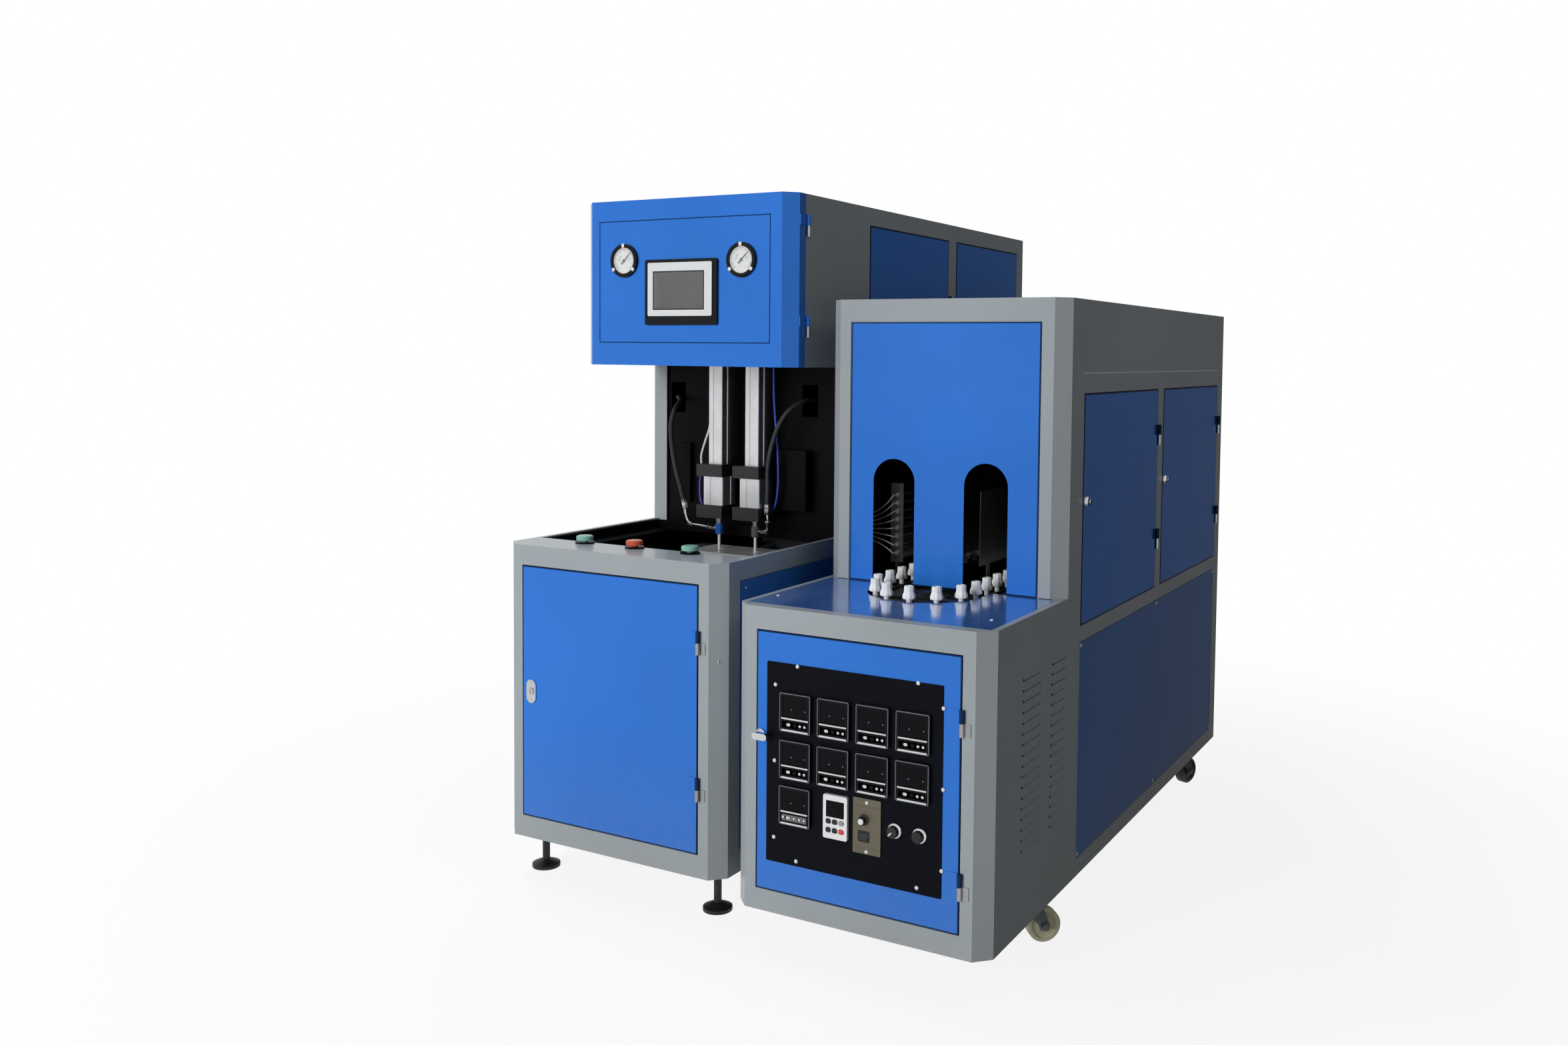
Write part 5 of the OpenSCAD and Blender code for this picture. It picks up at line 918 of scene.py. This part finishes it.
# Two blowing stations: drawn and anodised aluminium barrels, tied between machined black
# blocks. A white tube turning violet feeds the left one, and a blue one the right.
barrel = bright_metal("barrel_anodised", (0.80, 0.80, 0.82), 0.34, (6.0, 6.0, 0.2), 120.0)
dress(barrel, "cylinder_barrels")
block = Finish("station_blocks")
cast = block.noise(300.0, 3.0)
left_tube = 1 - block.x.above(frame_x(-504.6))
right_tube = block.x.above(frame_x(-307.4))
between_blocks = block.z.between(0.9790, 1.2415) + block.z.between(0.8706, 0.9454)
tube = (left_tube + right_tube) | between_blocks
white_part = block.z.above(0.952, 0.002)
left_colour = block.mix((0.060, 0.040, 0.34), (0.62, 0.63, 0.64), white_part)
station_middle = frame_x(-398)
tube_colour = block.mix(left_colour, (0.030, 0.070, 0.42), block.x.above(station_middle))
block.done(Base_Color=block.mix((0.014, 0.015, 0.017), tube_colour, tube),
           Roughness=0.42 + cast * 0.14 - tube * 0.18, Normal=block.bump(cast, 0.00008))
dress(block.material, "cylinder_blocks")

# Sealing nozzles and stretch rods: turned steel. The nozzle tips are painted, the left one
# blue and the right one grey; the rods are ground and chromed.
tip = Finish("nozzle_tips")
tip_grain = tip.noise(200.0, 3.0)
painted = tip.z.between(0.7895, 0.8185)
tip_colour = tip.mix((0.020, 0.125, 0.46), (0.11, 0.115, 0.115), tip.x.above(station_middle))
tip.done(Base_Color=tip.mix((0.66, 0.66, 0.67), tip_colour, painted), Metallic=1 - painted * 0.75,
         Roughness=0.22 + tip_grain * 0.12, Normal=tip.bump(tip_grain, 0.00004))
dress(tip.material, "seal_nozzles")
rod_chrome = bright_metal("rod_chrome", (0.92, 0.92, 0.93), 0.12, (4.0, 4.0, 0.3), 150.0,
                          metal=0.2)
dress(rod_chrome, "stretch_rods")


# Blow hoses: braided rubber hose from the bay's wall down to a bright union, then a bent metal
# pipe into the nozzle's side.
def eased(points, steps=6):
    """A smooth line through the points: each span is a cubic whose slope at a point is half
    the way from the point before it to the point after it."""
    points = np.asarray(points, float)
    padded = np.concatenate([[2 * points[0] - points[1]], points, [2 * points[-1] - points[-2]]])
    t = np.linspace(0, 1, steps, endpoint=False)[None, :, None]
    before, first, second, after = (padded[k : len(padded) - 3 + k, None] for k in range(4))
    spans = 0.5 * (2 * first + (second - before) * t
                   + (2 * before - 5 * first + 4 * second - after) * t**2
                   + (3 * first - before - 3 * second + after) * t**3)
    return np.concatenate([spans.reshape(-1, 3), points[-1:]])


def round_tube(points, radius, sides=16):
    """A circle carried along a line in mm. Each ring keeps its first spoke as near as it can
    to the one before, so the skin doesn't twist."""
    way = np.gradient(points, axis=0)
    way /= np.linalg.norm(way, axis=1, keepdims=True)
    spokes = [np.cross(way[0], (0, 1, 0))]
    for k in range(1, len(way)):
        spokes.append(spokes[-1] - way[k] * np.dot(spokes[-1], way[k]))
        spokes[-1] /= np.linalg.norm(spokes[-1])
    spokes[0] /= np.linalg.norm(spokes[0])
    spoke = np.array(spokes)[:, None]
    turn = np.linspace(0, 2 * np.pi, sides, endpoint=False)[None, :, None]
    circle = np.cos(turn) * spoke + np.sin(turn) * np.cross(way[:, None], spoke)
    return (points[:, None] + radius * circle) / 1000


rubber = {"left": moulded("hose_rubber_left", (0.014, 0.014, 0.015), 0.42, 350.0, 0.0002),
          "right": moulded("hose_rubber_right", (0.030, 0.036, 0.034), 0.36, 350.0, 0.0002)}
pipe_steel = bright_metal("pipe_steel", (0.66, 0.66, 0.67), 0.16)
hose_lines = {
    "left": [(-560, 586, 862), (-572, 586, 905), (-590, 586, 960), (-604, 586, 1030),
             (-606, 586, 1080), (-600, 594, 1118), (-606, 626, 1142), (-632, 653, 1152),
             (-640, 689, 1150)],
    "right": [(-297, 586, 864), (-295, 586, 920), (-295, 586, 975), (-281, 586, 1040),
              (-257, 586, 1096), (-235, 598, 1130), (-219, 630, 1148), (-215, 655, 1152),
              (-215, 689, 1150)]}
pipe_lines = {
    "left": [(-466, 600, 806), (-472, 600, 806), (-480, 600, 806), (-512, 592, 810),
             (-540, 586, 814), (-554, 586, 830), (-560, 586, 864)],
    "right": [(-331, 600, 806), (-325, 600, 806), (-317, 600, 806), (-299, 592, 814),
              (-294, 586, 834), (-297, 586, 866)]}
union = [(0, -11), (5.2, -11), (7.4, -10), (7.8, -4), (6.6, -3.4), (6.6, -2), (7.9, -1.4),
         (7.9, 7), (6.4, 8.4), (6.3, 16), (0, 16)]
nut = [(0, -5), (5.4, -5), (6.4, -4), (6.4, 4), (5.4, 5), (0, 5)]
elbow = [(0, -7.5), (4.0, -7.3), (6.2, -5.4), (7.4, -2.6), (7.4, 2.6), (6.2, 5.4), (4.0, 7.3),
         (0, 7.5)]
for side in ("left", "right"):
    line = eased(hose_lines[side])
    hose = piece("hose_" + side, None, "hose_rubber", rubber[side], round_tube(line, 6.0) + corner)
    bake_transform(hose)
    line = eased(pipe_lines[side])
    piece("pipe_" + side, "seal_heads", "bright_chrome", pipe_steel, round_tube(line, 4.0) + corner)
    lean = np.array(hose_lines[side][1], float) - hose_lines[side][0]
    lean /= np.linalg.norm(lean)
    first = np.array(pipe_lines[side][1], float)
    inward, wide = (1, 1.0) if side == "left" else (-1, 1.3)
    side_union = [(r * wide, rise) for r, rise in union]
    nut_places = [first + (-inward * 4, 0, 0), first + (-inward * 17, -1.2, 0.6)]
    piece("fittings_" + side, "seal_heads", "bright_chrome", pipe_steel,
          set_at(turned(side_union, lean, 6), [hose_lines[side][0]]),
          set_at(turned(elbow, BACK, 20), [pipe_lines[side][4]]),
          set_at(turned(nut, (inward, 0, 0), 6), nut_places))
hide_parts("blow_hoses")

# The mould clamp under the table: aluminium mould halves on cast platens, ground tie bars, a
# grey air cylinder and a steel pinion between two racks.
mould_metal = bright_metal("mould_aluminium", (0.78, 0.79, 0.80), 0.24, (0.3, 5.0, 5.0), 80.0,
                           metal=0.35)
dress(mould_metal, "mould_front", "mould_rear")
dress(black_steel("platen_cast", (0.045, 0.048, 0.052), 0.5), "platen_front", "platen_rear")
dress(bright_metal("tie_bar_chrome", (0.66, 0.66, 0.67), 0.12, (4.0, 0.3, 4.0), 120.0), "tie_bars")
dress(enamel("cylinder_grey", (0.09, 0.10, 0.11), 0.4), "clamp_cylinder")
dress(bright_metal("pinion_steel", (0.40, 0.38, 0.34), 0.3), "sync_pinion")
